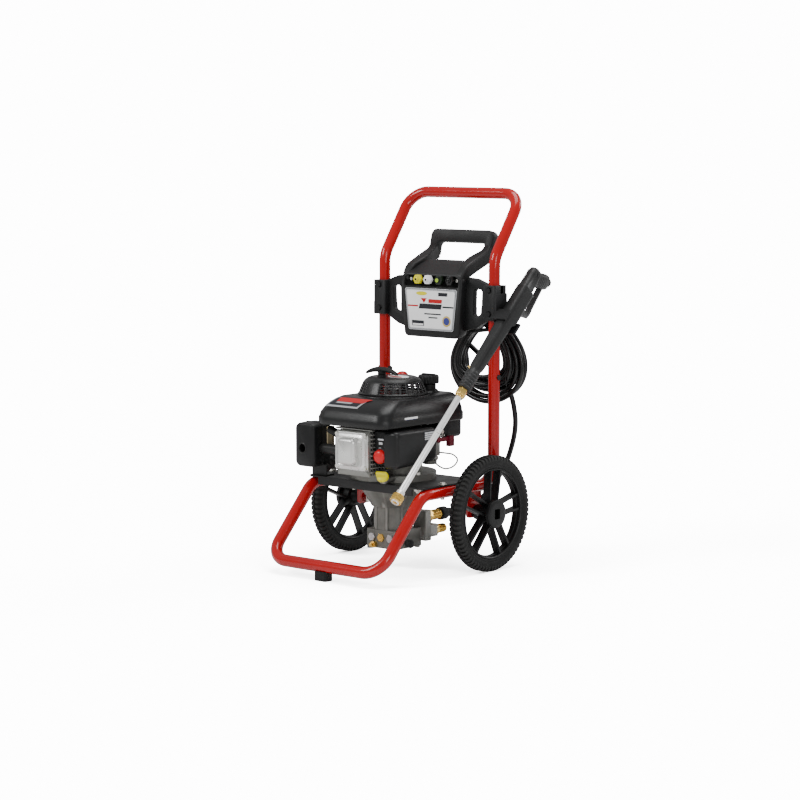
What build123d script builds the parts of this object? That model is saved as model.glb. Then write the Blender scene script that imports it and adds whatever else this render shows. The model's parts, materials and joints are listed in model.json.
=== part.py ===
from build123d import *
import os
from math import cos, radians, sin, tan

os.makedirs("parts", exist_ok=True)

# ---------------------------------------------------------------- driving dimensions (mm)
# +X is the machine's right side, -Y its front (the foot), +Z up. Z = 0 is the ground.
AXLE_Y = 39.53          # wheel axle, behind the middle of the footprint
WHEEL_R = 127.0         # 10 inch wheels
WHEEL_X = 200.0         # middle of each tyre
TUBE_R = 12.7           # 1 inch frame tube
TUBE_BORE = 11.2
SIDE_X = 158.0          # centreline of the frame's left and right tubes
RAIL_Z = 182.0
UPRIGHT_Y = AXLE_Y + 67
FRONT_Y = AXLE_Y - 317  # front cross tube
JOINT_Z = 394.0         # the handle loop slips over the base frame here
DECK_TOP = RAIL_Z + TUBE_R + 3.3
ENGINE_Y = AXLE_Y - 89  # vertical crank axis
COWL_Z = 322.0          # lower edge of the blower housing
COWL_TOP = 382.0
PANEL_Y = AXLE_Y + 41   # front face of the panel
NOZZLE_Z = 625.0
NOZZLE_X = {"yellow": -33.0, "white": -4.0, "green": 28.0, "black": 59.0}
FACE_SCREW_X = (-56.0, 74.5)
HOSE_R = 5.25
GUN_X = 195.0
LANCE_R = 6.85          # 1/4 inch pipe
LOOSE = 0.3             # gap between pieces that move past each other
RUNNING = 0.06          # radial clearance of a running fit


def write(part, name):
    part.label = name
    export_step(part, f"parts/{name}.step")


def group(*parts):
    """Separate solids that share a node."""
    return Compound([solid for part in parts for solid in part.solids()])


def bent_tube(points, radii, outer, bore=0.0):
    """A round tube swept along straight runs joined by tangent arcs."""
    with BuildPart() as tube:
        with BuildLine() as route:
            FilletPolyline(*points, radius=radii)
        with BuildSketch(Plane(origin=route.line @ 0, z_dir=route.line % 0)):
            Circle(outer)
            if bore:
                Circle(bore, mode=Mode.SUBTRACT)
        sweep()
    return tube.part


def rod(start, end, radius, mode=Mode.ADD):
    """A round bar between two points, in the part being built."""
    line = Vector(*end) - Vector(*start)
    with BuildSketch(Plane(origin=start, z_dir=line)) as section:
        Circle(radius)
    extrude(section.sketch, amount=line.length, mode=mode)


def block(low, high, mode=Mode.ADD):
    """A straight block between two corners, in the part being built."""
    middle = Vector(*[(a + b) / 2 for a, b in zip(low, high)])
    with Locations(middle):
        Box(high[0] - low[0], high[1] - low[1], high[2] - low[2], mode=mode)


# ---------------------------------------------------------------- frame
DECK_BOLT_Y = [AXLE_Y - 110, AXLE_Y - 40]
HANDLE_BOLT_Z = JOINT_Z + 22

frame_route = [(-SIDE_X, UPRIGHT_Y, JOINT_Z), (-SIDE_X, UPRIGHT_Y, RAIL_Z), (-SIDE_X, AXLE_Y - 178, RAIL_Z),
               (-SIDE_X, FRONT_Y, 30), (SIDE_X, FRONT_Y, 30), (SIDE_X, AXLE_Y - 178, RAIL_Z),
               (SIDE_X, UPRIGHT_Y, RAIL_Z), (SIDE_X, UPRIGHT_Y, JOINT_Z)]
bent_base = bent_tube(frame_route, [50, 50, 48, 48, 50, 50], TUBE_R, TUBE_BORE)
with BuildPart() as base_frame:
    add(bent_base)
    for x in (-SIDE_X, SIDE_X):
        # a reduced spigot that enters the handle tube
        with Locations((x, UPRIGHT_Y, JOINT_Z - 20)):
            Cylinder(TUBE_BORE, 20, align=(Align.CENTER, Align.CENTER, Align.MIN))
            Cylinder(TUBE_BORE - 0.3, 65, align=(Align.CENTER, Align.CENTER, Align.MIN))
            Cylinder(8.9, 65, align=(Align.CENTER, Align.CENTER, Align.MIN), mode=Mode.SUBTRACT)
        rod((x - 20, UPRIGHT_Y, HANDLE_BOLT_Z), (x + 20, UPRIGHT_Y, HANDLE_BOLT_Z), 3.2, Mode.SUBTRACT)
        for y in DECK_BOLT_Y:
            rod((x, y, 160), (x, y, 200), 4.1, Mode.SUBTRACT)
handle_route = [(-SIDE_X, UPRIGHT_Y, JOINT_Z), (-SIDE_X, UPRIGHT_Y, 674), (-SIDE_X, AXLE_Y + 163.5, 814.6),
                (SIDE_X, AXLE_Y + 163.5, 814.6), (SIDE_X, UPRIGHT_Y, 674), (SIDE_X, UPRIGHT_Y, JOINT_Z)]
bent_handle = bent_tube(handle_route, [60, 47, 47, 60], TUBE_R, TUBE_BORE)
with BuildPart() as handle_frame:
    add(bent_handle)
    for x in (-SIDE_X, SIDE_X):
        rod((x - 20, UPRIGHT_Y, HANDLE_BOLT_Z), (x + 20, UPRIGHT_Y, HANDLE_BOLT_Z), 3.2, Mode.SUBTRACT)
write(handle_frame.part, "handle_frame")

with BuildPart() as handle_bolts:
    for side in (-1, 1):
        x = side * SIDE_X
        rod((x - side * 14, UPRIGHT_Y, HANDLE_BOLT_Z), (x + side * TUBE_R, UPRIGHT_Y, HANDLE_BOLT_Z), 3.0)
        rod((x + side * TUBE_R, UPRIGHT_Y, HANDLE_BOLT_Z), (x + side * 15.7, UPRIGHT_Y, HANDLE_BOLT_Z), 6.0)
        rod((x - side * TUBE_R, UPRIGHT_Y, HANDLE_BOLT_Z), (x - side * 17.5, UPRIGHT_Y, HANDLE_BOLT_Z), 5.5)
PLATE_T = 5.0           # thickness of the axle brackets
BRACKET_IN = SIDE_X - PLATE_T / 2
BRACKET_OUT = SIDE_X + PLATE_T / 2
with BuildPart() as axle_brackets:
    for x in (-SIDE_X, SIDE_X):
        with BuildSketch(Plane.YZ.offset(x - PLATE_T / 2)):
            with Locations((AXLE_Y - 3, 146)):
                RectangleRounded(46, 62, 8)
        extrude(amount=PLATE_T)
        rod((x, AXLE_Y - 40, RAIL_Z), (x, AXLE_Y + 40, RAIL_Z), TUBE_R, Mode.SUBTRACT)
        rod((x - 10, AXLE_Y, WHEEL_R), (x + 10, AXLE_Y, WHEEL_R), 6.4, Mode.SUBTRACT)
with BuildPart() as welded_base:
    add(base_frame.part)
    add(axle_brackets.part)
write(welded_base.part, "base_frame")

HUB_IN = 164.3          # inner end of the wheel hub
RETAINER_X = 211.0
with BuildPart() as stub_axles:
    for side in (-1, 1):
        rod((side * 145, AXLE_Y, WHEEL_R), (side * 216, AXLE_Y, WHEEL_R), 6.35)
        rod((side * BRACKET_OUT, AXLE_Y, WHEEL_R), (side * (HUB_IN - LOOSE), AXLE_Y, WHEEL_R), 10)
with BuildPart() as axle_nuts:
    for side in (-1, 1):
        with BuildSketch(Plane.YZ.offset(side * BRACKET_IN)):
            with Locations((AXLE_Y, WHEEL_R)):
                RegularPolygon(11, 6)
                Circle(6.35, mode=Mode.SUBTRACT)
        extrude(amount=-side * 8)
with BuildPart() as axle_retainers:
    for side in (-1, 1):
        with BuildSketch(Plane.YZ.offset(side * RETAINER_X)):
            with Locations((AXLE_Y, WHEEL_R)):
                Circle(11)
                Circle(6.35, mode=Mode.SUBTRACT)
        extrude(amount=side * 2)
write(group(stub_axles.part, axle_nuts.part, axle_retainers.part), "stub_axles")

with BuildPart() as front_foot:
    block((-16.5, FRONT_Y - 12, 0), (16.5, FRONT_Y + 12, 20))
    fillet(front_foot.edges().filter_by(Axis.Z), 5)
    rod((-20, FRONT_Y, 30), (20, FRONT_Y, 30), TUBE_R, Mode.SUBTRACT)
write(front_foot.part, "front_foot")

# ---------------------------------------------------------------- wheels
HUB_R = 16.0
CAP_R = 31.0
TYRE_SEAT = 100.0
SPOKE_TURN = 10          # first spoke's angle from the rear, in degrees
CAP_X = 222.5            # outer face of the hub cap
for name, side in (("left", -1), ("right", 1)):
    spin = Axis((0, AXLE_Y, WHEEL_R), (1, 0, 0))
    profile_plane = Plane(origin=(0, AXLE_Y, WHEEL_R), x_dir=(side, 0, 0), z_dir=(0, -side, 0))
    with BuildPart() as wheel_rim:
        with BuildSketch(profile_plane):
            with BuildLine():
                Polyline((HUB_IN, 6.42), (208, 6.42), (208, 12.5), (219, 12.5), (219, 0), (CAP_X, 0),
                         (CAP_X, 26), (219, CAP_R), (212, CAP_R), (206, 20), (190, HUB_R), (HUB_IN, HUB_R),
                         close=True)
            make_face()
            with Locations((WHEEL_X, 97.5)):
                Rectangle(20, 5)
            with Locations((WHEEL_X, 93.5)):
                Rectangle(6, 6)
        revolve(axis=spin)
        with BuildSketch(Plane.YZ.offset(side * 192)):
            with Locations((AXLE_Y, WHEEL_R)):
                with PolarLocations(0, 5, start_angle=SPOKE_TURN):
                    for offset_y in (-10, 10):
                        with Locations((57, offset_y)):
                            Rectangle(80, 7)
        extrude(amount=side * 16)
        with BuildSketch(Plane.YZ.offset(side * 198)):
            with Locations((AXLE_Y, WHEEL_R)):
                with PolarLocations(57, 5, start_angle=SPOKE_TURN):
                    Rectangle(80, 16)
        extrude(amount=side * 4)
        rod((side * 150, AXLE_Y, WHEEL_R), (side * 208, AXLE_Y, WHEEL_R), 6.42, Mode.SUBTRACT)
        with Locations((side * (CAP_X - 0.3), AXLE_Y, WHEEL_R)):
            Box(4.4, 18, 22, mode=Mode.SUBTRACT)
    write(wheel_rim.part, f"{name}_wheel_rim")

    with BuildPart() as tyre:
        with BuildSketch(profile_plane):
            with BuildLine():
                Polyline((190, TYRE_SEAT), (186, 107), (186, 118), (189, WHEEL_R - 2), (192, WHEEL_R),
                         (208, WHEEL_R), (211, WHEEL_R - 2), (214, 118), (214, 107), (210, TYRE_SEAT),
                         close=True)
            make_face()
        revolve(axis=spin)
    write(tyre.part, f"{name}_tyre")

# ---------------------------------------------------------------- deck
BOLT_CIRCLE = 86.0
ENGINE_BOLT_XY = [(BOLT_CIRCLE * cos(radians(angle)), ENGINE_Y + BOLT_CIRCLE * sin(radians(angle)))
                  for angle in (108.7, 228.7, 348.7)]
with BuildPart() as deck_plate:
    with BuildSketch(Plane.XY.offset(RAIL_Z + TUBE_R)):
        with Locations((0, AXLE_Y - 90.5)):
            RectangleRounded(330, 189, 12)
        with Locations((0, ENGINE_Y)):
            Circle(45, mode=Mode.SUBTRACT)
        with Locations(ENGINE_BOLT_XY):
            Circle(4.2, mode=Mode.SUBTRACT)
        for y in DECK_BOLT_Y:
            with Locations((-SIDE_X, y), (SIDE_X, y)):
                Circle(4.1, mode=Mode.SUBTRACT)
    extrude(amount=3.3)
    block((-135, AXLE_Y - 185, RAIL_Z - 3), (135, AXLE_Y - 182, DECK_TOP))
with BuildPart() as muffler_bracket:
    block((-160, AXLE_Y - 176, DECK_TOP), (-118, AXLE_Y - 173, 222))
    block((-160, AXLE_Y - 176, DECK_TOP), (-118, AXLE_Y - 150, DECK_TOP + 3))
write(group(deck_plate.part, muffler_bracket.part), "deck_plate")

with BuildPart() as deck_bolts:
    for x in (-SIDE_X, SIDE_X):
        for y in DECK_BOLT_Y:
            rod((x, y, 166), (x, y, DECK_TOP), 4.0)
            with BuildSketch(Plane.XY.offset(DECK_TOP)):
                with Locations((x, y)):
                    RegularPolygon(7, 6)
            extrude(amount=5)
# ---------------------------------------------------------------- engine block
SUMP_TOP = 212.0
CASE_TOP = 314.0
SHAFT_R = 12.5
BEARING_R = 20.0
OIL_PLANE = Plane(origin=(66, AXLE_Y - 198, 213), x_dir=(1, 0, 0.35), z_dir=(0.2, -0.6, 0.77))
with BuildPart() as crankcase:
    with Locations((0, ENGINE_Y, DECK_TOP)):
        Cylinder(95, SUMP_TOP - DECK_TOP, align=(Align.CENTER, Align.CENTER, Align.MIN))
        Cylinder(64, CASE_TOP - DECK_TOP, align=(Align.CENTER, Align.CENTER, Align.MIN))
    block((-40, AXLE_Y - 160, 216), (40, ENGINE_Y, 310))
    rod((57, AXLE_Y - 142, 208), tuple(OIL_PLANE.origin - OIL_PLANE.z_dir * 8), 7)
    with BuildSketch(OIL_PLANE):
        Circle(10)
    extrude(amount=-7)
    with Locations((0, ENGINE_Y, DECK_TOP + 6)):
        Cylinder(54, CASE_TOP - DECK_TOP - 12, align=(Align.CENTER, Align.CENTER, Align.MIN),
                 mode=Mode.SUBTRACT)
    with Locations((0, ENGINE_Y, DECK_TOP)):
        Cylinder(BEARING_R, CASE_TOP - DECK_TOP, align=(Align.CENTER, Align.CENTER, Align.MIN),
                 mode=Mode.SUBTRACT)
    for x, y in ENGINE_BOLT_XY:
        rod((x, y, DECK_TOP - 1), (x, y, SUMP_TOP + 1), 4.2, Mode.SUBTRACT)
with BuildPart() as main_bearings:
    for z in (DECK_TOP, CASE_TOP - 6):
        with BuildSketch(Plane.XY.offset(z)):
            with Locations((0, ENGINE_Y)):
                Circle(BEARING_R)
                Circle(SHAFT_R + RUNNING, mode=Mode.SUBTRACT)
        extrude(amount=6)
write(group(crankcase.part, main_bearings.part), "crankcase")

with BuildPart() as engine_bolts:
    for x, y in ENGINE_BOLT_XY:
        rod((x, y, 172), (x, y, SUMP_TOP), 4.0)
    for z, height in ((SUMP_TOP, 5.5), (RAIL_Z - 6, 6)):
        with BuildSketch(Plane.XY.offset(z)):
            with Locations(ENGINE_BOLT_XY):
                RegularPolygon(7.5, 6)
        extrude(amount=height)
with BuildPart() as crankshaft:
    with Locations((0, ENGINE_Y, 112)):
        Cylinder(SHAFT_R, 368 - 112, align=(Align.CENTER, Align.CENTER, Align.MIN))
    block((-15, ENGINE_Y - 15, 246), (15, ENGINE_Y + 15, 272), Mode.SUBTRACT)
    with Locations((0, ENGINE_Y, 234), (0, ENGINE_Y, 272)):
        Cylinder(40, 12, align=(Align.CENTER, Align.CENTER, Align.MIN))
    with Locations((0, ENGINE_Y - 24, 246)):
        Cylinder(11, 26, align=(Align.CENTER, Align.CENTER, Align.MIN))
write(crankshaft.part, "crankshaft")

FLYWHEEL_Z = 324.0
with BuildPart() as flywheel:
    with Locations((0, ENGINE_Y, FLYWHEEL_Z)):
        Cylinder(66, 8, align=(Align.CENTER, Align.CENTER, Align.MIN))
        Cylinder(24, 28, align=(Align.CENTER, Align.CENTER, Align.MIN))
        Cylinder(SHAFT_R, 40, mode=Mode.SUBTRACT)
        Cylinder(SHAFT_R, 40, align=(Align.CENTER, Align.CENTER, Align.MIN), mode=Mode.SUBTRACT)
    with BuildSketch(Plane.XY.offset(FLYWHEEL_Z + 8)):
        with Locations((0, ENGINE_Y)):
            with PolarLocations(47, 12):
                Rectangle(34, 3, rotation=25)
    extrude(amount=20)
with BuildPart() as starter_cup:
    with Locations((0, ENGINE_Y, FLYWHEEL_Z + 28)):
        Cylinder(30, 26, align=(Align.CENTER, Align.CENTER, Align.MIN))
    with Locations((0, ENGINE_Y, FLYWHEEL_Z + 31)):
        Cylinder(27, 30, align=(Align.CENTER, Align.CENTER, Align.MIN), mode=Mode.SUBTRACT)
        Cylinder(SHAFT_R, 20, mode=Mode.SUBTRACT)
write(group(flywheel.part, starter_cup.part), "flywheel")

HEAD_FRONT = AXLE_Y - 222
with BuildPart() as cylinder_head:
    block((-34, HEAD_FRONT, 226), (34, AXLE_Y - 160, 304))
    for fin in range(7):
        y = AXLE_Y - 162.5 - 9.2 * fin
        block((-46, y - 1.25, 215), (46, y + 1.25, 312))
    block((-46, HEAD_FRONT, 228), (46, HEAD_FRONT + 6, 310))
write(cylinder_head.part, "cylinder_head")

with BuildPart() as spark_plug:
    rod((-60, AXLE_Y - 205, 300), (-40, AXLE_Y - 205, 293), 5)
    rod((-82, AXLE_Y - 205, 308), (-60, AXLE_Y - 205, 300), 8.5)
    add(cylinder_head.part, mode=Mode.SUBTRACT)
write(spark_plug.part, "spark_plug")

COVER_BOLTS = [(-40, 234), (40, 234), (-40, 304), (40, 304)]
with BuildPart() as valve_cover:
    with BuildSketch(Plane.XZ.offset(-HEAD_FRONT)):
        with Locations((0, 269)):
            RectangleRounded(92, 82, 10)
    extrude(amount=4)
    with BuildSketch(Plane.XZ.offset(-HEAD_FRONT + 4)):
        with Locations((0, 269)):
            RectangleRounded(70, 68, 8)
    extrude(amount=15, taper=8)
write(valve_cover.part, "valve_cover")

with BuildPart() as valve_cover_bolts:
    for x, z in COVER_BOLTS:
        rod((x, HEAD_FRONT - 4, z), (x, HEAD_FRONT - 8, z), 4.5)
with BuildPart() as face_screws:
    for x in FACE_SCREW_X:
        rod((x, PANEL_Y + 12, NOZZLE_Z), (x, PANEL_Y, NOZZLE_Z), 2.45)
        rod((x, PANEL_Y, NOZZLE_Z), (x, PANEL_Y - 2.2, NOZZLE_Z), 3.5)
write(group(deck_bolts.part, engine_bolts.part, valve_cover_bolts.part, face_screws.part), "zinc_bolts")

with BuildPart() as oil_cap:
    with BuildSketch(OIL_PLANE):
        Circle(13)
    extrude(amount=8)
    with BuildSketch(OIL_PLANE.offset(8)):
        SlotOverall(30, 8)
    extrude(amount=11)
write(oil_cap.part, "oil_cap")

# ---------------------------------------------------------------- exhaust
with BuildPart() as muffler:
    block((-170, AXLE_Y - 220, 222), (-115, AXLE_Y - 164, 317))
    fillet(muffler.edges().filter_by(Axis.Y), 9)
    rod((-149, AXLE_Y - 225, 262), (-149, AXLE_Y - 185, 262), 9, Mode.SUBTRACT)
with BuildPart() as exhaust_pipe:
    rod((-115, AXLE_Y - 192, 262), (-46, AXLE_Y - 192, 262), 11)
    block((-52, AXLE_Y - 212, 246), (-46, AXLE_Y - 172, 278))
write(group(muffler.part, exhaust_pipe.part), "muffler")

with BuildPart() as heat_shield:
    block((-104, AXLE_Y - 190, 266), (-102, AXLE_Y - 168, 310))
    rod((-110, AXLE_Y - 192, 262), (-90, AXLE_Y - 192, 262), 11, Mode.SUBTRACT)
write(heat_shield.part, "heat_shield")

# ---------------------------------------------------------------- air intake and controls
with BuildPart() as air_filter_base:
    block((50, AXLE_Y - 208, 242), (84, AXLE_Y - 79, 316))
    fillet(air_filter_base.edges().filter_by(Axis.X), 4)
    rod((0, ENGINE_Y, 200), (0, ENGINE_Y, 330), 65, Mode.SUBTRACT)
    rod((68, AXLE_Y - 210, 261), (68, AXLE_Y - 199, 261), 15.8, Mode.SUBTRACT)
with BuildPart() as air_filter_cover:
    block((84, AXLE_Y - 215, 236), (118, AXLE_Y - 76, 317))
    fillet(air_filter_cover.edges().filter_by(Axis.Z).group_by(Axis.X)[-1], 14)
    fillet(air_filter_cover.edges().filter_by(Axis.Y).group_by(Axis.X)[-1], 5)
    block((80, AXLE_Y - 208, 242), (114, AXLE_Y - 86, 312), Mode.SUBTRACT)
write(air_filter_cover.part, "air_filter_cover")

with BuildPart() as air_filter_element:
    block((84, AXLE_Y - 198, 248), (107, AXLE_Y - 96, 306))
write(group(air_filter_base.part, air_filter_element.part), "air_filter_base")

BULB_Y = AXLE_Y - 204
with BuildPart() as primer_bulb:
    rod((68, BULB_Y, 261), (68, BULB_Y - 8, 261), 15.5)
    with BuildSketch(Plane(origin=(68, BULB_Y - 8, 261), x_dir=(1, 0, 0), z_dir=(0, 0, 1))):
        with BuildLine():
            arc = ThreePointArc((0, -8), (10, -5.2), (15.5, 0))
            Polyline(arc @ 1, (0, 0), arc @ 0)
        make_face()
    revolve(axis=Axis((68, BULB_Y - 8, 261), (0, 1, 0)))
write(primer_bulb.part, "primer_bulb")

with BuildPart() as carburettor:
    block((66, AXLE_Y - 76, 250), (96, AXLE_Y - 44, 292))
    rod((81, AXLE_Y - 60, 232), (81, AXLE_Y - 60, 250), 15)
    rod((66, AXLE_Y - 60, 271), (50, AXLE_Y - 60, 271), 9)
    rod((0, ENGINE_Y, 200), (0, ENGINE_Y, 330), 64, Mode.SUBTRACT)
LEVER_X = 96.0
with BuildPart() as choke_lever:
    rod((LEVER_X, AXLE_Y - 52, 284), (LEVER_X + 6, AXLE_Y - 52, 284), 6)
    block((LEVER_X + 2, AXLE_Y - 52, 280), (LEVER_X + 6, AXLE_Y - 16, 288))
    block((LEVER_X, AXLE_Y - 22, 268), (LEVER_X + 10, AXLE_Y - 7, 290))
write(choke_lever.part, "choke_lever")

cable_route = [(90, AXLE_Y - 44, 256), (92, AXLE_Y - 22, 252), (95, AXLE_Y + 4, 247), (96, AXLE_Y + 22, 232),
               (92, AXLE_Y + 6, 217), (87, AXLE_Y - 16, 215), (83, AXLE_Y - 34, 224), (81, AXLE_Y - 50, 238)]
cable_radii = []
for before, corner, after in zip(cable_route, cable_route[1:], cable_route[2:]):
    run_in = Vector(*corner) - Vector(*before)
    run_out = Vector(*after) - Vector(*corner)
    half_turn = radians(run_in.get_angle(run_out) / 2)
    cable_radii.append(0.45 * min(run_in.length, run_out.length) / tan(half_turn))
bent_wire = bent_tube(cable_route, cable_radii, 1.3)
with BuildPart() as throttle_wire:
    add(bent_wire)
    add(carburettor.part, mode=Mode.SUBTRACT)
write(group(carburettor.part, throttle_wire.part), "carburettor")

# ---------------------------------------------------------------- cowl, tank and starter
FILL_X = 22.0
FILL_Y = AXLE_Y + 6
KNOB_X = -44.0
KNOB_Y = AXLE_Y - 6


def cowl_form(shrink, low, high):
    """Loft of the housing: straight skirt, then a shoulder that draws in to the flat top."""
    with BuildPart() as form:
        for z, half_x, front, rear in ((low, 103, 237, 48), (low + 20, 103, 235, 48)):
            with BuildSketch(Plane.XY.offset(z)):
                with Locations((0, AXLE_Y + (rear - front) / 2)):
                    RectangleRounded(2 * (half_x - shrink), front + rear - 2 * shrink, 32 - shrink)
        loft()
        for z, half_x, front, rear in ((low + 20, 103, 235, 48), (high, 82, 190, 36)):
            with BuildSketch(Plane.XY.offset(z)):
                with Locations((0, AXLE_Y + (rear - front) / 2)):
                    RectangleRounded(2 * (half_x - shrink), front + rear - 2 * shrink, 32 - shrink)
        loft()
    return form.part


cowl_outside = cowl_form(0, COWL_Z, COWL_TOP)
cowl_inside = cowl_form(2.5, COWL_Z - 1, COWL_TOP - 2.5)
with BuildPart() as blower_housing:
    add(cowl_outside)
    add(cowl_inside, mode=Mode.SUBTRACT)
    with Locations((0, ENGINE_Y, COWL_TOP)):
        Cylinder(64, 40, mode=Mode.SUBTRACT)
    with Locations((FILL_X, FILL_Y, COWL_TOP)):
        Cylinder(17, 60, mode=Mode.SUBTRACT)
    with Locations((KNOB_X, KNOB_Y, COWL_TOP)):
        Cylinder(12, 20, align=(Align.CENTER, Align.CENTER, Align.MIN))
write(blower_housing.part, "blower_housing")

with BuildPart() as fuel_tank:
    block((-58, AXLE_Y - 22, 284), (92, AXLE_Y + 42, 321))
    fillet(fuel_tank.edges().filter_by(Axis.Z), 14)
    fillet(fuel_tank.faces().sort_by(Axis.Z)[0].edges(), 8)
    with Locations((FILL_X, FILL_Y, 317)):
        Cylinder(16, 80, align=(Align.CENTER, Align.CENTER, Align.MIN))
    block((-52, AXLE_Y - 16, 290), (86, AXLE_Y + 36, 317), Mode.SUBTRACT)
    with Locations((FILL_X, FILL_Y, 310)):
        Cylinder(13, 90, align=(Align.CENTER, Align.CENTER, Align.MIN), mode=Mode.SUBTRACT)
write(fuel_tank.part, "fuel_tank")

with BuildPart() as fuel_cap:
    with Locations((FILL_X, FILL_Y, 399)):
        Cylinder(23, 20, align=(Align.CENTER, Align.CENTER, Align.MIN))
        Cylinder(16.3, 8, align=(Align.CENTER, Align.CENTER, Align.MIN), mode=Mode.SUBTRACT)
    with Locations((FILL_X, FILL_Y, 391)):
        Cylinder(12.6, 16, align=(Align.CENTER, Align.CENTER, Align.MIN))
    fillet(fuel_cap.faces().sort_by(Axis.Z)[-1].edges(), 3)
write(fuel_cap.part, "fuel_cap")

with BuildPart() as stop_knob:
    with Locations((KNOB_X, KNOB_Y, COWL_TOP + 20 + LOOSE)):
        Cylinder(14, 19, align=(Align.CENTER, Align.CENTER, Align.MIN))
    fillet(stop_knob.faces().sort_by(Axis.Z)[-1].edges(), 10)
write(stop_knob.part, "stop_knob")

GRIP_X = -12.0
GRIP_Y = ENGINE_Y - 23
DOME_TOP = 420.0
dome_outline = [(76, COWL_TOP), (76, COWL_TOP + 3), (73, COWL_TOP + 4), (64, 410), (54, DOME_TOP)]
with BuildPart() as recoil_cover:
    with BuildSketch(Plane(origin=(0, ENGINE_Y, 0), x_dir=(1, 0, 0), z_dir=(0, -1, 0))):
        with BuildLine():
            Polyline(*dome_outline, (0, DOME_TOP), (0, 390), (8, 390), (8, DOME_TOP - 3), (52, DOME_TOP - 3),
                     (61, 408), (69, COWL_TOP + 3), (69, COWL_TOP), close=True)
        make_face()
    revolve(axis=Axis((0, ENGINE_Y, 0), (0, 0, 1)))
    with Locations((GRIP_X, GRIP_Y, DOME_TOP)):
        Cylinder(9, 4, align=(Align.CENTER, Align.CENTER, Align.MIN))
    with Locations((GRIP_X, GRIP_Y, DOME_TOP)):
        Cylinder(2.4, 20, mode=Mode.SUBTRACT)
    with BuildSketch(Plane.XY.offset(388)):
        with Locations((0, ENGINE_Y)):
            with PolarLocations(66, 24, start_angle=-50, angular_range=280):
                Rectangle(18, 5)
    extrude(amount=8, mode=Mode.SUBTRACT)
    with BuildSketch(Plane.XY.offset(398)):
        with Locations((0, ENGINE_Y)):
            with PolarLocations(62, 24, start_angle=-50, angular_range=280):
                Rectangle(18, 5)
    extrude(amount=8, mode=Mode.SUBTRACT)
write(recoil_cover.part, "recoil_cover")

with BuildPart() as starter_pulley:
    for z, radius, height in ((391, 22, 2), (393, 16, 8), (401, 22, 2)):
        with Locations((0, ENGINE_Y, z)):
            Cylinder(radius, height, align=(Align.CENTER, Align.CENTER, Align.MIN))
    with Locations((0, ENGINE_Y, 397)):
        Cylinder(8 + RUNNING, 20, mode=Mode.SUBTRACT)
write(starter_pulley.part, "starter_pulley")

with BuildPart() as starter_rope:
    rod((GRIP_X, GRIP_Y, 398), (GRIP_X, GRIP_Y, DOME_TOP + 4.3), 1.9)
write(starter_rope.part, "starter_rope")

with BuildPart() as starter_grip:
    with BuildSketch(Plane.XZ.offset(-GRIP_Y - 9)):
        with BuildLine():
            top = ThreePointArc((GRIP_X - 45, 429), (GRIP_X, 443), (GRIP_X + 45, 429))
            under = ThreePointArc((GRIP_X + 42, 425), (GRIP_X + 28, 430), (GRIP_X + 12, 431))
            mirror_arc = ThreePointArc((GRIP_X - 12, 431), (GRIP_X - 28, 430), (GRIP_X - 42, 425))
            Line(top @ 1, under @ 0)
            Polyline(under @ 1, (GRIP_X + 10, 424.3), (GRIP_X - 10, 424.3), mirror_arc @ 0)
            Line(mirror_arc @ 1, top @ 0)
        make_face()
    extrude(amount=18)
write(starter_grip.part, "starter_grip")

# ---------------------------------------------------------------- pump
PUMP_TOP = RAIL_Z + TUBE_R
FLANGE_LOW = 182.0
with BuildPart() as pump_flange:
    with BuildSketch(Plane(origin=(0, ENGINE_Y, 0), x_dir=(1, 0, 0), z_dir=(0, -1, 0))):
        with BuildLine():
            Polyline((20, PUMP_TOP), (92, PUMP_TOP), (92, FLANGE_LOW), (76, FLANGE_LOW), (56, 152), (47, 136),
                     (36, 136), (36, 150), (20, 170), close=True)
        make_face()
    revolve(axis=Axis((0, ENGINE_Y, 0), (0, 0, 1)))
    for x, y in ENGINE_BOLT_XY:
        rod((x, y, 150), (x, y, PUMP_TOP + 1), 4.2, Mode.SUBTRACT)
        rod((x, y, 140), (x, y, FLANGE_LOW), 11, Mode.SUBTRACT)
write(pump_flange.part, "pump_flange")

with BuildPart() as pump_body:
    with Locations((0, ENGINE_Y, 85)):
        Cylinder(41, 136 - 85, align=(Align.CENTER, Align.CENTER, Align.MIN))
    for quarter in range(8):
        angle = radians(22.5 + 45 * quarter)
        x = 40 * cos(angle)
        y = ENGINE_Y + 40 * sin(angle)
        block((x - 3, y - 3, 85), (x + 3, y + 3, 136))
    with Locations((0, ENGINE_Y, 92)):
        Cylinder(34, 60, align=(Align.CENTER, Align.CENTER, Align.MIN), mode=Mode.SUBTRACT)
write(pump_body.part, "pump_body")

with BuildPart() as wobble_plate:
    with BuildSketch(Plane(origin=(0, ENGINE_Y, 98), x_dir=(1, 0, 0), z_dir=(0, -1, 0))):
        with BuildLine():
            Polyline((-28, 0), (28, 8), (28, 30), (-28, 30), close=True)
        make_face()
    extrude(amount=30, both=True)
    with Locations((0, ENGINE_Y, 110)):
        Cylinder(28, 60, mode=Mode.INTERSECT)
        Cylinder(SHAFT_R, 60, mode=Mode.SUBTRACT)
write(wobble_plate.part, "wobble_plate")

OUTLET_X = 40.0
OUTLET_Z = 107.0
INLET_Z = 74.0
with BuildPart() as pump_head:
    block((-42, ENGINE_Y - 42, 45), (44, ENGINE_Y + 44, 85))
    block((22, AXLE_Y - 46, 56), (58, AXLE_Y - 28, 122))
    block((28, AXLE_Y - 28, 62), (54, AXLE_Y, 88))
    fillet(pump_head.edges().filter_by(Axis.Z).group_by(Axis.Y)[0], 6)
    rod((43, ENGINE_Y - 16, 58), (54, ENGINE_Y - 16, 58), 5)
write(pump_head.part, "pump_head")

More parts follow.
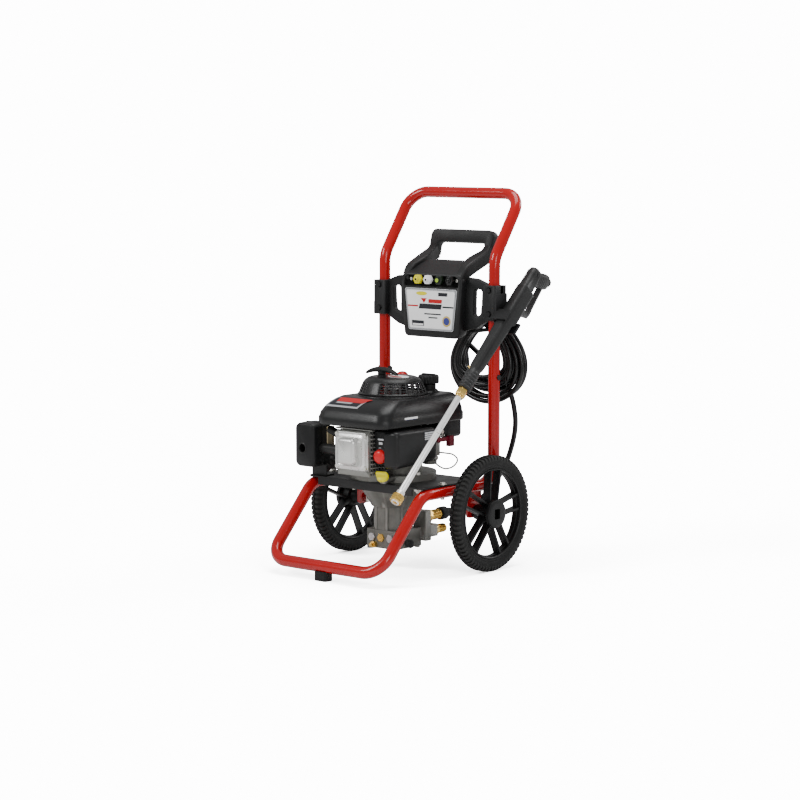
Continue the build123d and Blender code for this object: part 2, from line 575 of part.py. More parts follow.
with BuildPart() as pump_outlet:
    with BuildSketch(Plane.XZ.offset(-(AXLE_Y - 28))):
        with Locations((OUTLET_X, OUTLET_Z)):
            RegularPolygon(13, 6)
    extrude(amount=-24)
    rod((OUTLET_X, AXLE_Y - 4, OUTLET_Z), (OUTLET_X, AXLE_Y + 22, OUTLET_Z), 10.9)
write(pump_outlet.part, "pump_outlet")

INLET_R = 9.5
with BuildPart() as water_inlet:
    rod((OUTLET_X, AXLE_Y, INLET_Z), (OUTLET_X, AXLE_Y + 10, INLET_Z), 12.5)
    rod((OUTLET_X, AXLE_Y + 10, INLET_Z), (OUTLET_X, AXLE_Y + 38, INLET_Z), INLET_R)
    rod((OUTLET_X, AXLE_Y + 4, INLET_Z), (OUTLET_X, AXLE_Y + 40, INLET_Z), 6, Mode.SUBTRACT)
write(water_inlet.part, "water_inlet")

with BuildPart() as unloader_knob:
    rod((54 + LOOSE, ENGINE_Y - 16, 58), (68, ENGINE_Y - 16, 58), 9)
    chamfer(unloader_knob.faces().sort_by(Axis.X)[-1].edges(), 1.5)
write(unloader_knob.part, "unloader_knob")

with BuildPart() as relief_valve:
    rod((-17, ENGINE_Y - 42, 52), (-17, ENGINE_Y - 50, 52), 7)
    rod((-17, ENGINE_Y - 50, 52), (-17, ENGINE_Y - 57, 52), 4)
write(relief_valve.part, "relief_valve")

# ---------------------------------------------------------------- panel
CLAMP_HALF = 17.0
CLAMP_Z = (541.0, 618.0)
SCREW_Z = (555.0, 607.0)


def panel_outline(y, half_top, half_low, top, low, corner):
    """Trapezoid section of the panel across the machine, at a distance y."""
    with BuildSketch(Plane.XZ.offset(-y)) as outline:
        with BuildLine():
            Polyline((-half_low, low), (half_low, low), (half_top, top), (-half_top, top), close=True)
        make_face()
        fillet(outline.vertices(), corner)
    return outline.sketch


front_section = panel_outline(PANEL_Y, 88, 76, 634, 497, 9)
shoulder_section = panel_outline(PANEL_Y + 14, 90, 78, 640, 497, 9)
rear_section = panel_outline(PANEL_Y + 58, 62, 58, 666, 510, 9)
front_hollow = panel_outline(PANEL_Y + 24, 80, 70, 634, 503, 6)
rear_hollow = panel_outline(PANEL_Y + 60, 58, 54, 661, 516, 6)
# the carrying loop: two arms that run back and up from the panel's sides, then a steeper frame
ARM_PLANE = Plane(origin=(0, AXLE_Y + 68.3, 646.1), x_dir=(1, 0, 0), z_dir=(0, -0.382, 0.924))
LOOP_PLANE = Plane(origin=(0, AXLE_Y + 151.3, 689.2), x_dir=(1, 0, 0), z_dir=(0, -0.973, 0.231))
with BuildPart() as panel_body:
    loft([front_section, shoulder_section])
    loft([shoulder_section, rear_section])
    for side in (-1, 1):
        # wing with its slot, and the front half of the clamp round the frame tube
        with BuildSketch(Plane.XZ.offset(-(AXLE_Y + 75))):
            with BuildLine():
                Polyline((side * 60, 508), (side * 118, 528), (side * 145, 544), (side * 145, 616),
                         (side * 118, 628), (side * 60, 632), close=True)
            make_face()
            with Locations((side * 116, 576)):
                SlotOverall(64, 26, rotation=90, mode=Mode.SUBTRACT)
        extrude(amount=15)
        block((side * SIDE_X - CLAMP_HALF, AXLE_Y + 47, CLAMP_Z[0]),
              (side * SIDE_X + CLAMP_HALF, UPRIGHT_Y, CLAMP_Z[1]))
    with BuildSketch(ARM_PLANE) as arms:
        for side in (-1, 1):
            with BuildLine():
                Polyline((side * 57, -12), (side * 57, 33), (side * 67, 79), (side * 67, 88), (side * 89, 88),
                         (side * 89, 10), (side * 84, -12), close=True)
            make_face()
    extrude(arms.sketch, amount=14, both=True)
    with BuildSketch(LOOP_PLANE) as upper_loop:
        with BuildLine():
            Polyline((-89, -22), (89, -22), (89, 41), (-89, 41), close=True)
        make_face()
        fillet(upper_loop.vertices().group_by(Axis.Z)[-1], 14)
        with Locations((0, -6)):
            Rectangle(134, 48, mode=Mode.SUBTRACT)
    extrude(upper_loop.sketch, amount=10, both=True)
    loft([front_hollow, rear_hollow], mode=Mode.SUBTRACT)
    for side in (-1, 1):
        rod((side * SIDE_X, UPRIGHT_Y, 500), (side * SIDE_X, UPRIGHT_Y, 660), TUBE_R, Mode.SUBTRACT)
        for z in SCREW_Z:
            for reach in (-14.6, 14.6):
                rod((side * SIDE_X + reach, AXLE_Y + 40, z), (side * SIDE_X + reach, AXLE_Y + 90, z), 1.6,
                    Mode.SUBTRACT)
    for x in NOZZLE_X.values():
        rod((x, PANEL_Y - 1, NOZZLE_Z), (x, PANEL_Y + 25, NOZZLE_Z), 6.2, Mode.SUBTRACT)
    for x in FACE_SCREW_X:
        rod((x, PANEL_Y - 1, NOZZLE_Z), (x, PANEL_Y + 40, NOZZLE_Z), 2.5, Mode.SUBTRACT)
write(panel_body.part, "panel_body")

with BuildPart() as panel_clamps:
    for side in (-1, 1):
        block((side * SIDE_X - CLAMP_HALF, UPRIGHT_Y, CLAMP_Z[0]),
              (side * SIDE_X + CLAMP_HALF, AXLE_Y + 87, CLAMP_Z[1]))
        rod((side * SIDE_X, UPRIGHT_Y, 500), (side * SIDE_X, UPRIGHT_Y, 660), TUBE_R, Mode.SUBTRACT)
        with Locations((side * 140, AXLE_Y + 70, 580)):
            Box(12, 10, 100, mode=Mode.SUBTRACT)
write(panel_clamps.part, "panel_clamps")

with BuildPart() as panel_screws:
    for side in (-1, 1):
        for z in SCREW_Z:
            rod((side * SIDE_X, AXLE_Y + 44, z), (side * SIDE_X, AXLE_Y + 47, z), 5)
write(group(handle_bolts.part, panel_screws.part), "black_screws")

with BuildPart() as label_plate:
    with BuildSketch(Plane.XZ.offset(-PANEL_Y)) as label_outline:
        with BuildLine():
            Polyline((-64, 514), (64, 514), (76, 604), (-76, 604), close=True)
        make_face()
        fillet(label_outline.vertices(), 4)
    extrude(amount=1.2)
write(label_plate.part, "label_plate")

NOZZLE_PLUG_R = 5.9
for colour, x in NOZZLE_X.items():
    with BuildPart() as nozzle:
        rod((x, PANEL_Y + 20, NOZZLE_Z), (x, PANEL_Y - LOOSE, NOZZLE_Z), NOZZLE_PLUG_R)
        with BuildSketch(Plane.XZ.offset(-PANEL_Y + LOOSE)):
            with Locations((x, NOZZLE_Z)):
                RegularPolygon(11, 6, rotation=30)
        extrude(amount=11)
        rod((x, PANEL_Y - 11, NOZZLE_Z), (x, PANEL_Y - 15, NOZZLE_Z), 4.5)
    write(nozzle.part, f"nozzle_{colour}")

# ---------------------------------------------------------------- hose hook and hose
COIL_X = 90.0
COIL_Z = 438.0          # height of the coil's widest place
COIL_Y = (AXLE_Y + 101, AXLE_Y + 153)
HOOK_TOP = 516.0
ROUND = 0.5523          # pull of a Bezier curve that makes a quarter of an ellipse
with BuildPart() as hose_hook:
    block((COIL_X - 9, AXLE_Y + 75, HOOK_TOP - 6), (COIL_X + 9, COIL_Y[1] + 14, HOOK_TOP))
    block((COIL_X - 9, COIL_Y[1] + 9, HOOK_TOP - 6), (COIL_X + 9, COIL_Y[1] + 14, HOOK_TOP + 26))
    block((COIL_X - 9, AXLE_Y + 75, HOOK_TOP - 6), (COIL_X + 9, AXLE_Y + 78, HOOK_TOP + 20))
write(hose_hook.part, "hose_hook")

FITTING_X = 2.0
FITTING_Y = AXLE_Y + 166
FITTING_TOP = 424.0
tail = bent_tube([(0, COIL_Y[1] - 8, 486), (FITTING_X, FITTING_Y, 456), (FITTING_X, FITTING_Y, FITTING_TOP)],
                 [40], HOSE_R)


def hanging_loop(half_width, below, above):
    """Outline of turns that hang from a hook: half an ellipse below, drawn in towards the hook above."""
    with BuildSketch(Plane.XZ.offset(-COIL_Y[1]), mode=Mode.PRIVATE) as outline:
        with BuildLine():
            right = (COIL_X + half_width, COIL_Z)
            left = (COIL_X - half_width, COIL_Z)
            top = (COIL_X, COIL_Z + above)
            bottom = (COIL_X, COIL_Z - below)
            Bezier(left, (left[0], COIL_Z - ROUND * below), (COIL_X - ROUND * half_width, bottom[1]), bottom)
            Bezier(bottom, (COIL_X + ROUND * half_width, bottom[1]), (right[0], COIL_Z - ROUND * below),
                   right)
            Bezier(right, (right[0], COIL_Z + 0.38 * above), (COIL_X + 0.36 * half_width, top[1]), top)
            Bezier(top, (COIL_X - 0.36 * half_width, top[1]), (left[0], COIL_Z + 0.38 * above), left)
        make_face()
    return outline.sketch


outer_loop = hanging_loop(112, 94, 118)
inner_loop = hanging_loop(66, 14, 82)
with BuildPart() as hose_coil:
    extrude(outer_loop, amount=COIL_Y[1] - COIL_Y[0])
    extrude(inner_loop, amount=COIL_Y[1] - COIL_Y[0], mode=Mode.SUBTRACT)
    add(tail)
write(hose_coil.part, "hose_coil")

hose_route = [(OUTLET_X, AXLE_Y + 62, OUTLET_Z), (OUTLET_X, AXLE_Y + 114, OUTLET_Z), (66, AXLE_Y + 150, 132),
              (102, AXLE_Y + 160, 182), (136, AXLE_Y + 150, 228), (162, AXLE_Y + 143, 298),
              (160, AXLE_Y + 136, 352), (146, AXLE_Y + 130, 398)]
hose_radii = []
for before, corner, after in zip(hose_route, hose_route[1:], hose_route[2:]):
    run_in = Vector(*corner) - Vector(*before)
    run_out = Vector(*after) - Vector(*corner)
    half_turn = radians(run_in.get_angle(run_out) / 2)
    hose_radii.append(0.45 * min(run_in.length, run_out.length) / tan(half_turn))
print("hose bend radii", [round(r) for r in hose_radii])
hose_run = bent_tube(hose_route, hose_radii, HOSE_R)
with BuildPart() as hose_to_pump:
    add(hose_run)
    add(hose_coil.part, mode=Mode.SUBTRACT)
write(hose_to_pump.part, "hose_run")

with BuildPart() as hose_swivel:
    rod((OUTLET_X, AXLE_Y + 22, OUTLET_Z), (OUTLET_X, AXLE_Y + 42, OUTLET_Z), 14)
    with BuildSketch(Plane.XZ.offset(-(AXLE_Y + 42))):
        with Locations((OUTLET_X, OUTLET_Z)):
            Circle(10.5)
    with BuildSketch(Plane.XZ.offset(-(AXLE_Y + 62))):
        with Locations((OUTLET_X, OUTLET_Z)):
            Circle(7)
    loft()
write(hose_swivel.part, "hose_swivel")

with BuildPart() as hose_end_fitting:
    rod((FITTING_X, FITTING_Y, FITTING_TOP), (FITTING_X, FITTING_Y, FITTING_TOP - 22), 7.5)
    rod((FITTING_X, FITTING_Y, FITTING_TOP - 22), (FITTING_X, FITTING_Y, FITTING_TOP - 42), 12.5)
    rod((FITTING_X, FITTING_Y, FITTING_TOP - 30), (FITTING_X, FITTING_Y, FITTING_TOP - 45), 10.9,
        Mode.SUBTRACT)
write(hose_end_fitting.part, "hose_end_fitting")

# ---------------------------------------------------------------- spray gun and lance
GUN = Plane(origin=(GUN_X, AXLE_Y - 86.5, 403.2), x_dir=(1, 0, 0), z_dir=(0, 0.719, 0.695))
# local x is across the machine, local y points down and back (the pistol grip's side), local z up the gun


def gun_stretch(sections):
    """Rounded-box sections lofted up the gun: (distance, width, depth, shift, corner)."""
    outlines = []
    for distance, width, depth, shift, corner in sections:
        with BuildSketch(GUN.offset(distance)) as outline:
            with Locations((0, shift)):
                RectangleRounded(width, depth, corner)
        outlines.append(outline.sketch)
    for lower, upper in zip(outlines, outlines[1:]):
        loft([lower, upper])


GRIP_AT = 327.0
PISTOL = Plane(origin=GUN.from_local_coords(Vector(0, 0, GRIP_AT)), x_dir=GUN.z_dir,
               z_dir=GUN.y_dir * cos(radians(20)) - GUN.x_dir * sin(radians(20)))
SLANT = radians(35)     # the grip leans back, away from the lance
HANDLE = Plane(origin=PISTOL.origin, x_dir=PISTOL.x_dir * cos(SLANT) - PISTOL.z_dir * sin(SLANT),
               z_dir=PISTOL.z_dir * cos(SLANT) + PISTOL.x_dir * sin(SLANT))
HANDLE_END = 82.0
TRIGGER_AT = -26.0      # trigger pin, up the gun from the grip's root
PIN_R = 1.5             # trigger pin
pin_ends = [tuple(PISTOL.from_local_coords(Vector(TRIGGER_AT, reach, 16))) for reach in (-6.5, 6.5)]
guard = [tuple(PISTOL.from_local_coords(Vector(along, 0, away))) for along, away in ((38, 64), (-48, 76), (-70, 18))]
with BuildPart() as gun_body:
    gun_stretch([(2, 27, 27, 0, 12.5), (46, 29, 29, 0, 12.5), (58, 25, 25, 0, 11), (196, 31, 34, 2, 12),
                 (212, 31, 40, 5, 12), (352, 30, 38, 5, 12)])
    with BuildSketch(HANDLE.offset(4)):
        RectangleRounded(34, 28, 11)
    with BuildSketch(HANDLE.offset(HANDLE_END)):
        RectangleRounded(35, 30, 12)
    loft()
    # trigger guard: from the foot of the grip forward, then back up to the body
    rod(guard[0], guard[1], 6)
    rod(guard[1], guard[2], 6)
    with Locations(Vector(*guard[1])):
        Sphere(6)
    with BuildSketch(PISTOL.offset(12)):
        with Locations((-21, 0)):
            Rectangle(36, 9)
    extrude(amount=20, mode=Mode.SUBTRACT)
    rod(*pin_ends, PIN_R)
    with BuildSketch(GUN):
        Circle(LANCE_R)
    extrude(amount=26, mode=Mode.SUBTRACT)
write(gun_body.part, "gun_body")

TRIGGER_HALF = 4.2
with BuildPart() as gun_trigger:
    with BuildSketch(PISTOL.offset(13.5)):
        with Locations((TRIGGER_AT, 0)):
            Rectangle(12, 2 * TRIGGER_HALF)
    with BuildSketch(PISTOL.offset(58)):
        with Locations((TRIGGER_AT + 20, 0)):
            Rectangle(8, 2 * TRIGGER_HALF)
    loft()
    rod(*pin_ends, PIN_R + RUNNING, Mode.SUBTRACT)
write(gun_trigger.part, "gun_trigger")

GUN_INLET_R = 10.9
with BuildPart() as gun_inlet:
    with BuildSketch(HANDLE.offset(HANDLE_END)):
        RegularPolygon(12, 6)
    extrude(amount=6)
    with BuildSketch(HANDLE.offset(HANDLE_END + 6)):
        Circle(GUN_INLET_R)
        Circle(4.5, mode=Mode.SUBTRACT)
    extrude(amount=16)
write(gun_inlet.part, "gun_inlet")

TIP_AT = -312.0         # open end of the lance
with BuildPart() as gun_collar:
    with BuildSketch(GUN.offset(-16)):
        RegularPolygon(11.5, 6)
    extrude(amount=18)
    with BuildSketch(GUN.offset(-16)):
        Circle(LANCE_R)
    extrude(amount=18, mode=Mode.SUBTRACT)
write(gun_collar.part, "gun_collar")

with BuildPart() as lance_tube:
    with BuildSketch(GUN.offset(TIP_AT + 24)):
        Circle(LANCE_R)
        Circle(LANCE_R - 2, mode=Mode.SUBTRACT)
    extrude(amount=-24 - TIP_AT + 26)
SOCKET_R = 6.0
with BuildPart() as coupler_body:
    with BuildSketch(GUN.offset(TIP_AT)):
        Circle(9)
        Circle(SOCKET_R, mode=Mode.SUBTRACT)
    extrude(amount=21)
    with BuildSketch(GUN.offset(TIP_AT + 21)):
        Circle(9)
        Circle(4, mode=Mode.SUBTRACT)
    extrude(amount=3)
    with BuildSketch(GUN.offset(TIP_AT + 24)):
        Circle(9)
        Circle(LANCE_R, mode=Mode.SUBTRACT)
    extrude(amount=6)
write(group(lance_tube.part, coupler_body.part), "lance_tube")

with BuildPart() as coupler_collar:
    with BuildSketch(GUN.offset(TIP_AT + 2)):
        Circle(13)
        Circle(9 + RUNNING, mode=Mode.SUBTRACT)
    extrude(amount=18)
write(coupler_collar.part, "coupler_collar")

CLIP_AT = 188.0
with BuildPart() as gun_holder:
    # a fork that opens outwards, one arm above and one below the body
    for shift in (-18.3, 28.3):
        with BuildSketch(GUN.offset(CLIP_AT)):
            with Locations((0, shift)):
                Rectangle(36, 5)
        extrude(amount=28)
    with BuildSketch(GUN.offset(CLIP_AT)):
        with Locations((-18, 5)):
            Rectangle(3.4, 51.6)
    extrude(amount=28)
    block((175, AXLE_Y + 48, 541), (178.7, AXLE_Y + 86, 600))
write(gun_holder.part, "gun_holder")
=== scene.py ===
import json
import math
import bmesh
import bpy
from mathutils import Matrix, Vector

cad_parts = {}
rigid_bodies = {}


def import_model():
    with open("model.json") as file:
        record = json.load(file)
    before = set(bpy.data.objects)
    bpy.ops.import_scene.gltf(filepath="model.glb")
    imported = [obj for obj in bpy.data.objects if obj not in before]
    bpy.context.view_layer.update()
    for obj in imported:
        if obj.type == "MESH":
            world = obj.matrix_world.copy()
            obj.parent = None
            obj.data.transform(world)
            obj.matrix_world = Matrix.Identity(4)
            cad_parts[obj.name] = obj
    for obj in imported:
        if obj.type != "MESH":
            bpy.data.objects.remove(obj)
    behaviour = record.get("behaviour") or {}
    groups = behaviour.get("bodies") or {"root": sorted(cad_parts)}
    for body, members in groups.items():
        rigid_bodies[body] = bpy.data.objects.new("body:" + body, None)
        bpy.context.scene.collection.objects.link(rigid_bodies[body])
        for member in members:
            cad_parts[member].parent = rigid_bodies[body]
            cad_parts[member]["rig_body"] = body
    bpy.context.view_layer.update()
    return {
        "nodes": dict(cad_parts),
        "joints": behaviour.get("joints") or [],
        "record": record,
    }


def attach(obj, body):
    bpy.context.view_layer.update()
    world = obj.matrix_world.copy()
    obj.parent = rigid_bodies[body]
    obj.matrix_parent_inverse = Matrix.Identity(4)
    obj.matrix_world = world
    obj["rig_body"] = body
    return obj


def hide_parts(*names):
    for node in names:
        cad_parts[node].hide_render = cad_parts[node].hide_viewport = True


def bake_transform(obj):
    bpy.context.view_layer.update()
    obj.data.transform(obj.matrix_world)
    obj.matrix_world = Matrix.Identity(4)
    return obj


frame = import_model()
NODES = frame["nodes"]
RECORD = frame["record"]
JOINTS = {joint["name"]: joint for joint in frame["joints"]}
SLOTS = {row["node"]: row["material_slot"] for row in RECORD["subparts"]}
AXLE_Y = JOINTS["right_wheel_spin"]["pos_m"][1]
WHEEL_R = JOINTS["right_wheel_spin"]["pos_m"][2]
# places in millimetres from the axle's middle, as at() takes them
CRANK_Y = -89
ROPE_X = -12
ROPE_Y = -112


def at(x, y, z):
    """A point given in millimetres from the axle's middle (y) and the ground (z)."""
    return Vector((x / 1000, AXLE_Y + y / 1000, z / 1000))


# ------------------------------------------------------------------ materials
def node_material(name):
    made = bpy.data.materials.new(name)
    made.use_nodes = True
    return made, made.node_tree.nodes, made.node_tree.links


def noise_ramp(nodes, links, scale, low, high, detail=4.0, stretch=(1, 1, 1)):
    """A mask from 0 to 1 out of 3-D noise in the object's own coordinates."""
    place = nodes.new("ShaderNodeTexCoord")
    mapping = nodes.new("ShaderNodeMapping")
    mapping.inputs["Scale"].default_value = stretch
    noise = nodes.new("ShaderNodeTexNoise")
    noise.inputs["Scale"].default_value = scale
    noise.inputs["Detail"].default_value = detail
    ramp = nodes.new("ShaderNodeMapRange")
    ramp.inputs["From Min"].default_value = low
    ramp.inputs["From Max"].default_value = high
    links.new(place.outputs["Object"], mapping.inputs["Vector"])
    links.new(mapping.outputs["Vector"], noise.inputs["Vector"])
    links.new(noise.outputs["Fac"], ramp.inputs["Value"])
    return ramp.outputs["Result"]


def blend_colours(nodes, links, mask, first, second):
    mix = nodes.new("ShaderNodeMix")
    mix.data_type = "RGBA"
    mix.inputs["A"].default_value = (*first, 1)
    mix.inputs["B"].default_value = (*second, 1)
    links.new(mask, mix.inputs["Factor"])
    return mix.outputs["Result"]


def finish_material(name, colour, roughness, metallic=0.0, coat=0.0, mottle=0.25, mottle_scale=14,
                    grain_scale=900, grain=0.15, edge=None, rough_spread=0.1, stretch=(1, 1, 1),
                    specular=0.5):
    """Paint, plastic or metal with uneven tone, uneven gloss, a fine grain and painted highlights on edges.
    """
    made, nodes, links = node_material(name)
    shader = nodes["Principled BSDF"]
    shader.inputs["Metallic"].default_value = metallic
    shader.inputs["Coat Weight"].default_value = coat
    shader.inputs["Coat Roughness"].default_value = 0.08
    shader.inputs["Specular IOR Level"].default_value = specular
    darker = [channel * (1 - mottle) for channel in colour]
    lighter = [min(1, channel * (1 + mottle)) for channel in colour]
    mask = noise_ramp(nodes, links, mottle_scale, 0.35, 0.65, stretch=stretch)
    tone = blend_colours(nodes, links, mask, darker, lighter)
    # painted highlight: convex edges, found by pointiness, are lightened towards the edge colour
    if edge:
        geometry = nodes.new("ShaderNodeNewGeometry")
        edge_highlight = nodes.new("ShaderNodeMapRange")
        edge_highlight.inputs["From Min"].default_value = 0.53
        edge_highlight.inputs["From Max"].default_value = 0.62
        links.new(geometry.outputs["Pointiness"], edge_highlight.inputs["Value"])
        mix = nodes.new("ShaderNodeMix")
        mix.data_type = "RGBA"
        links.new(edge_highlight.outputs["Result"], mix.inputs["Factor"])
        links.new(tone, mix.inputs["A"])
        mix.inputs["B"].default_value = (*edge, 1)
        tone = mix.outputs["Result"]
    links.new(tone, shader.inputs["Base Color"])
    uneven = noise_ramp(nodes, links, mottle_scale * 3.1, 0.3, 0.7, stretch=stretch)
    gloss = nodes.new("ShaderNodeMapRange")
    gloss.inputs["To Min"].default_value = max(0.03, roughness - rough_spread / 2)
    gloss.inputs["To Max"].default_value = roughness + rough_spread / 2
    links.new(uneven, gloss.inputs["Value"])
    links.new(gloss.outputs["Result"], shader.inputs["Roughness"])
    if grain:
        fine = noise_ramp(nodes, links, grain_scale, 0.3, 0.7, detail=2, stretch=stretch)
        bump = nodes.new("ShaderNodeBump")
        bump.inputs["Strength"].default_value = grain
        bump.inputs["Distance"].default_value = 0.0004
        links.new(fine, bump.inputs["Height"])
        links.new(bump.outputs["Normal"], shader.inputs["Normal"])
    return made


RED_PAINT = finish_material("red_powder_coat", (0.40, 0.0015, 0.002), 0.2, coat=0.35, mottle=0.07,
                            mottle_scale=9, grain_scale=350, grain=0.03, specular=0.25)
BLACK_PAINT = finish_material("black_satin_paint", (0.006, 0.006, 0.0065), 0.4, mottle=0.25, grain_scale=500,
                              grain=0.1, edge=(0.02, 0.02, 0.02), specular=0.25)
ZINC = finish_material("zinc_plate", (0.72, 0.71, 0.66), 0.28, metallic=1.0, mottle=0.12, mottle_scale=60,
                       grain_scale=700, grain=0.08)
STEEL = finish_material("machined_steel", (0.55, 0.55, 0.56), 0.3, metallic=1.0, mottle=0.1, mottle_scale=40,
                        grain_scale=500, grain=0.1, stretch=(1, 1, 12))
STAINLESS = finish_material("stainless_lance", (0.93, 0.93, 0.92), 0.3, metallic=0.55, mottle=0.04,
                            mottle_scale=30, grain_scale=600, grain=0.04)
CAST_GREY = finish_material("cast_aluminium", (0.17, 0.17, 0.155), 0.5, metallic=0.7, mottle=0.25,
                            mottle_scale=24, grain_scale=420, grain=0.5, edge=(0.36, 0.36, 0.34),
                            specular=0.3)
SILVER_PAINT = finish_material("silver_cover", (0.66, 0.66, 0.64), 0.3, metallic=0.7, mottle=0.07,
                               mottle_scale=20, grain_scale=500, grain=0.12, edge=(0.85, 0.85, 0.84))
BLACK_PLASTIC = finish_material("black_moulded_plastic", (0.007, 0.0072, 0.0075), 0.45, mottle=0.18,
                                mottle_scale=12, grain_scale=1100, grain=0.3, edge=(0.02, 0.02, 0.021),
                                specular=0.25)
COWL_PLASTIC = finish_material("cowl_plastic", (0.006, 0.0062, 0.0065), 0.33, mottle=0.2, mottle_scale=9,
                               grain_scale=1300, grain=0.18, edge=(0.018, 0.018, 0.019), specular=0.32)
PANEL_PLASTIC = finish_material("panel_plastic", (0.009, 0.0092, 0.0095), 0.48, mottle=0.15, mottle_scale=10,
                                grain_scale=950, grain=0.3, edge=(0.022, 0.022, 0.023), specular=0.28)
GUN_PLASTIC = finish_material("gun_plastic", (0.012, 0.0123, 0.0125), 0.42, mottle=0.2, mottle_scale=16,
                              grain_scale=1000, grain=0.3, edge=(0.03, 0.03, 0.031), specular=0.3)
RIM_PLASTIC = finish_material("rim_plastic", (0.0045, 0.0045, 0.0048), 0.42, mottle=0.2, grain_scale=700,
                              grain=0.2, edge=(0.014, 0.014, 0.0145), specular=0.25)
TYRE_RUBBER = finish_material("tyre_rubber", (0.006, 0.006, 0.006), 0.6, mottle=0.3, mottle_scale=18,
                              grain_scale=800, grain=0.5, edge=(0.017, 0.017, 0.0165), specular=0.22)
SOFT_RUBBER = finish_material("soft_rubber", (0.0055, 0.0055, 0.0055), 0.55, mottle=0.25, grain_scale=900,
                              grain=0.4, specular=0.25)
HOSE_JACKET = finish_material("hose_jacket", (0.003, 0.003, 0.0032), 0.28, mottle=0.25, mottle_scale=30,
                              grain_scale=900, grain=0.12, specular=0.35)
BRASS = finish_material("turned_brass", (0.78, 0.48, 0.10), 0.24, metallic=1.0, mottle=0.1, mottle_scale=70,
                        grain_scale=700, grain=0.1, edge=(0.95, 0.75, 0.3))
RED_PLASTIC = finish_material("red_knob_plastic", (0.46, 0.004, 0.005), 0.3, coat=0.25, mottle=0.1,
                              grain=0.05, specular=0.3)
BULB_RUBBER = finish_material("primer_rubber", (0.56, 0.006, 0.010), 0.32, coat=0.15, mottle=0.1, grain=0.05,
                              specular=0.3)
DARK_RED = finish_material("choke_plastic", (0.12, 0.002, 0.012), 0.35, mottle=0.15, grain=0.1, specular=0.3)
YELLOW = finish_material("yellow_plastic", (0.74, 0.66, 0.012), 0.34, mottle=0.1, grain=0.1, specular=0.3)
WHITE = finish_material("white_plastic", (0.90, 0.90, 0.90), 0.36, mottle=0.03, grain=0.06)
GREEN = finish_material("green_black_plastic", (0.004, 0.010, 0.004), 0.3, mottle=0.2, grain=0.06,
                        specular=0.35)
LIME = finish_material("lime_plastic", (0.36, 0.55, 0.03), 0.36, mottle=0.1, grain=0.05, specular=0.3)
GLOSS_BLACK = finish_material("gloss_black", (0.004, 0.004, 0.004), 0.2, mottle=0.2, grain=0.05,
                              specular=0.35)
CREAM = finish_material("heat_shield_cream", (0.60, 0.50, 0.30), 0.6, mottle=0.18, mottle_scale=60,
                        grain=0.3)
DARK_PIT = finish_material("shadowed_recess", (0.004, 0.004, 0.004), 0.9, mottle=0.3, grain=0.2,
                           specular=0.1)
FILM_SILVER = finish_material("silver_film", (0.62, 0.63, 0.65), 0.3, metallic=0.6, mottle=0.06, grain=0.05)
FILM_RED = finish_material("red_film", (0.46, 0.008, 0.010), 0.35, mottle=0.06, grain=0.04, specular=0.3)
FILM_BLUE = finish_material("blue_film", (0.03, 0.04, 0.22), 0.35, mottle=0.1, grain=0.04)
FILM_GOLD = finish_material("gold_film", (0.55, 0.40, 0.10), 0.4, mottle=0.1, grain=0.04)
FILM_DARK = finish_material("dark_film", (0.012, 0.013, 0.018), 0.4, mottle=0.1, grain=0.04, specular=0.3)


# ------------------------------------------------------------------ shape helpers
def placed(name, data):
    """An object of the scene that holds the data."""
    made = bpy.data.objects.new(name, data)
    bpy.context.scene.collection.objects.link(made)
    return made


def new_object(name, vertices, faces):
    mesh = bpy.data.meshes.new(name)
    mesh.from_pydata([tuple(v) for v in vertices], [], faces)
    mesh.validate()
    tidy = bmesh.new()
    tidy.from_mesh(mesh)
    bmesh.ops.remove_doubles(tidy, verts=tidy.verts, dist=1e-6)
    bmesh.ops.recalc_face_normals(tidy, faces=tidy.faces)
    tidy.to_mesh(mesh)
    tidy.free()
    return placed(name, mesh)


def smooth(piece, angle=35):
    """Smooth shading, with edges sharper than the angle kept crisp."""
    piece.data.polygons.foreach_set("use_smooth", [True] * len(piece.data.polygons))
    piece.data.set_sharp_from_angle(angle=math.radians(angle))


def rounded(piece, width, segments=2, angle=30):
    """A bevel on the piece's real edges, width in millimetres."""
    bevel = piece.modifiers.new("edge_radius", "BEVEL")
    bevel.width = width / 1000
    bevel.segments = segments
    bevel.limit_method = "ANGLE"
    bevel.angle_limit = math.radians(angle)
    bevel.harden_normals = True
    piece.data.polygons.foreach_set("use_smooth", [True] * len(piece.data.polygons))
    return piece


def install(piece, material, body, *nodes, slot=None):
    """Gives a finished piece its material and body, and hides the CAD nodes that it stands for."""
    piece.data.materials.clear()
    piece.data.materials.append(material)
    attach(piece, body)
    if nodes:
        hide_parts(*nodes)
    return piece


def printed(piece, material):
    """A printed plate or sticker, fixed to the machine."""
    return install(piece, material, "chassis", slot=SLOTS["label_plate"])


def softened(node, material, width=0.8, segments=2):
    """The CAD shape with its edges rounded."""
    source = NODES[node]
    piece = placed(node + "_shape", source.data.copy())
    shape = bmesh.new()
    shape.from_mesh(piece.data)
    bmesh.ops.remove_doubles(shape, verts=shape.verts, dist=1e-6)
    bmesh.ops.dissolve_limit(shape, angle_limit=math.radians(2), verts=shape.verts, edges=shape.edges)
    shape.to_mesh(piece.data)
    shape.free()
    piece.data.set_sharp_from_angle(angle=math.radians(30))
    rounded(piece, width, segments)
    return install(piece, material, source["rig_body"], node)


def paint(node, material):
    """A CAD node that shows as it is gets its finish."""
    NODES[node].data.materials.clear()
    NODES[node].data.materials.append(material)


def axes_for(direction):
    """Two unit vectors across a direction."""
    direction = Vector(direction).normalized()
    side = direction.cross(Vector((0, 0, 1)))
    if side.length < 0.01:
        side = Vector((1, 0, 0))
    side.normalize()
    return side, direction.cross(side).normalized()


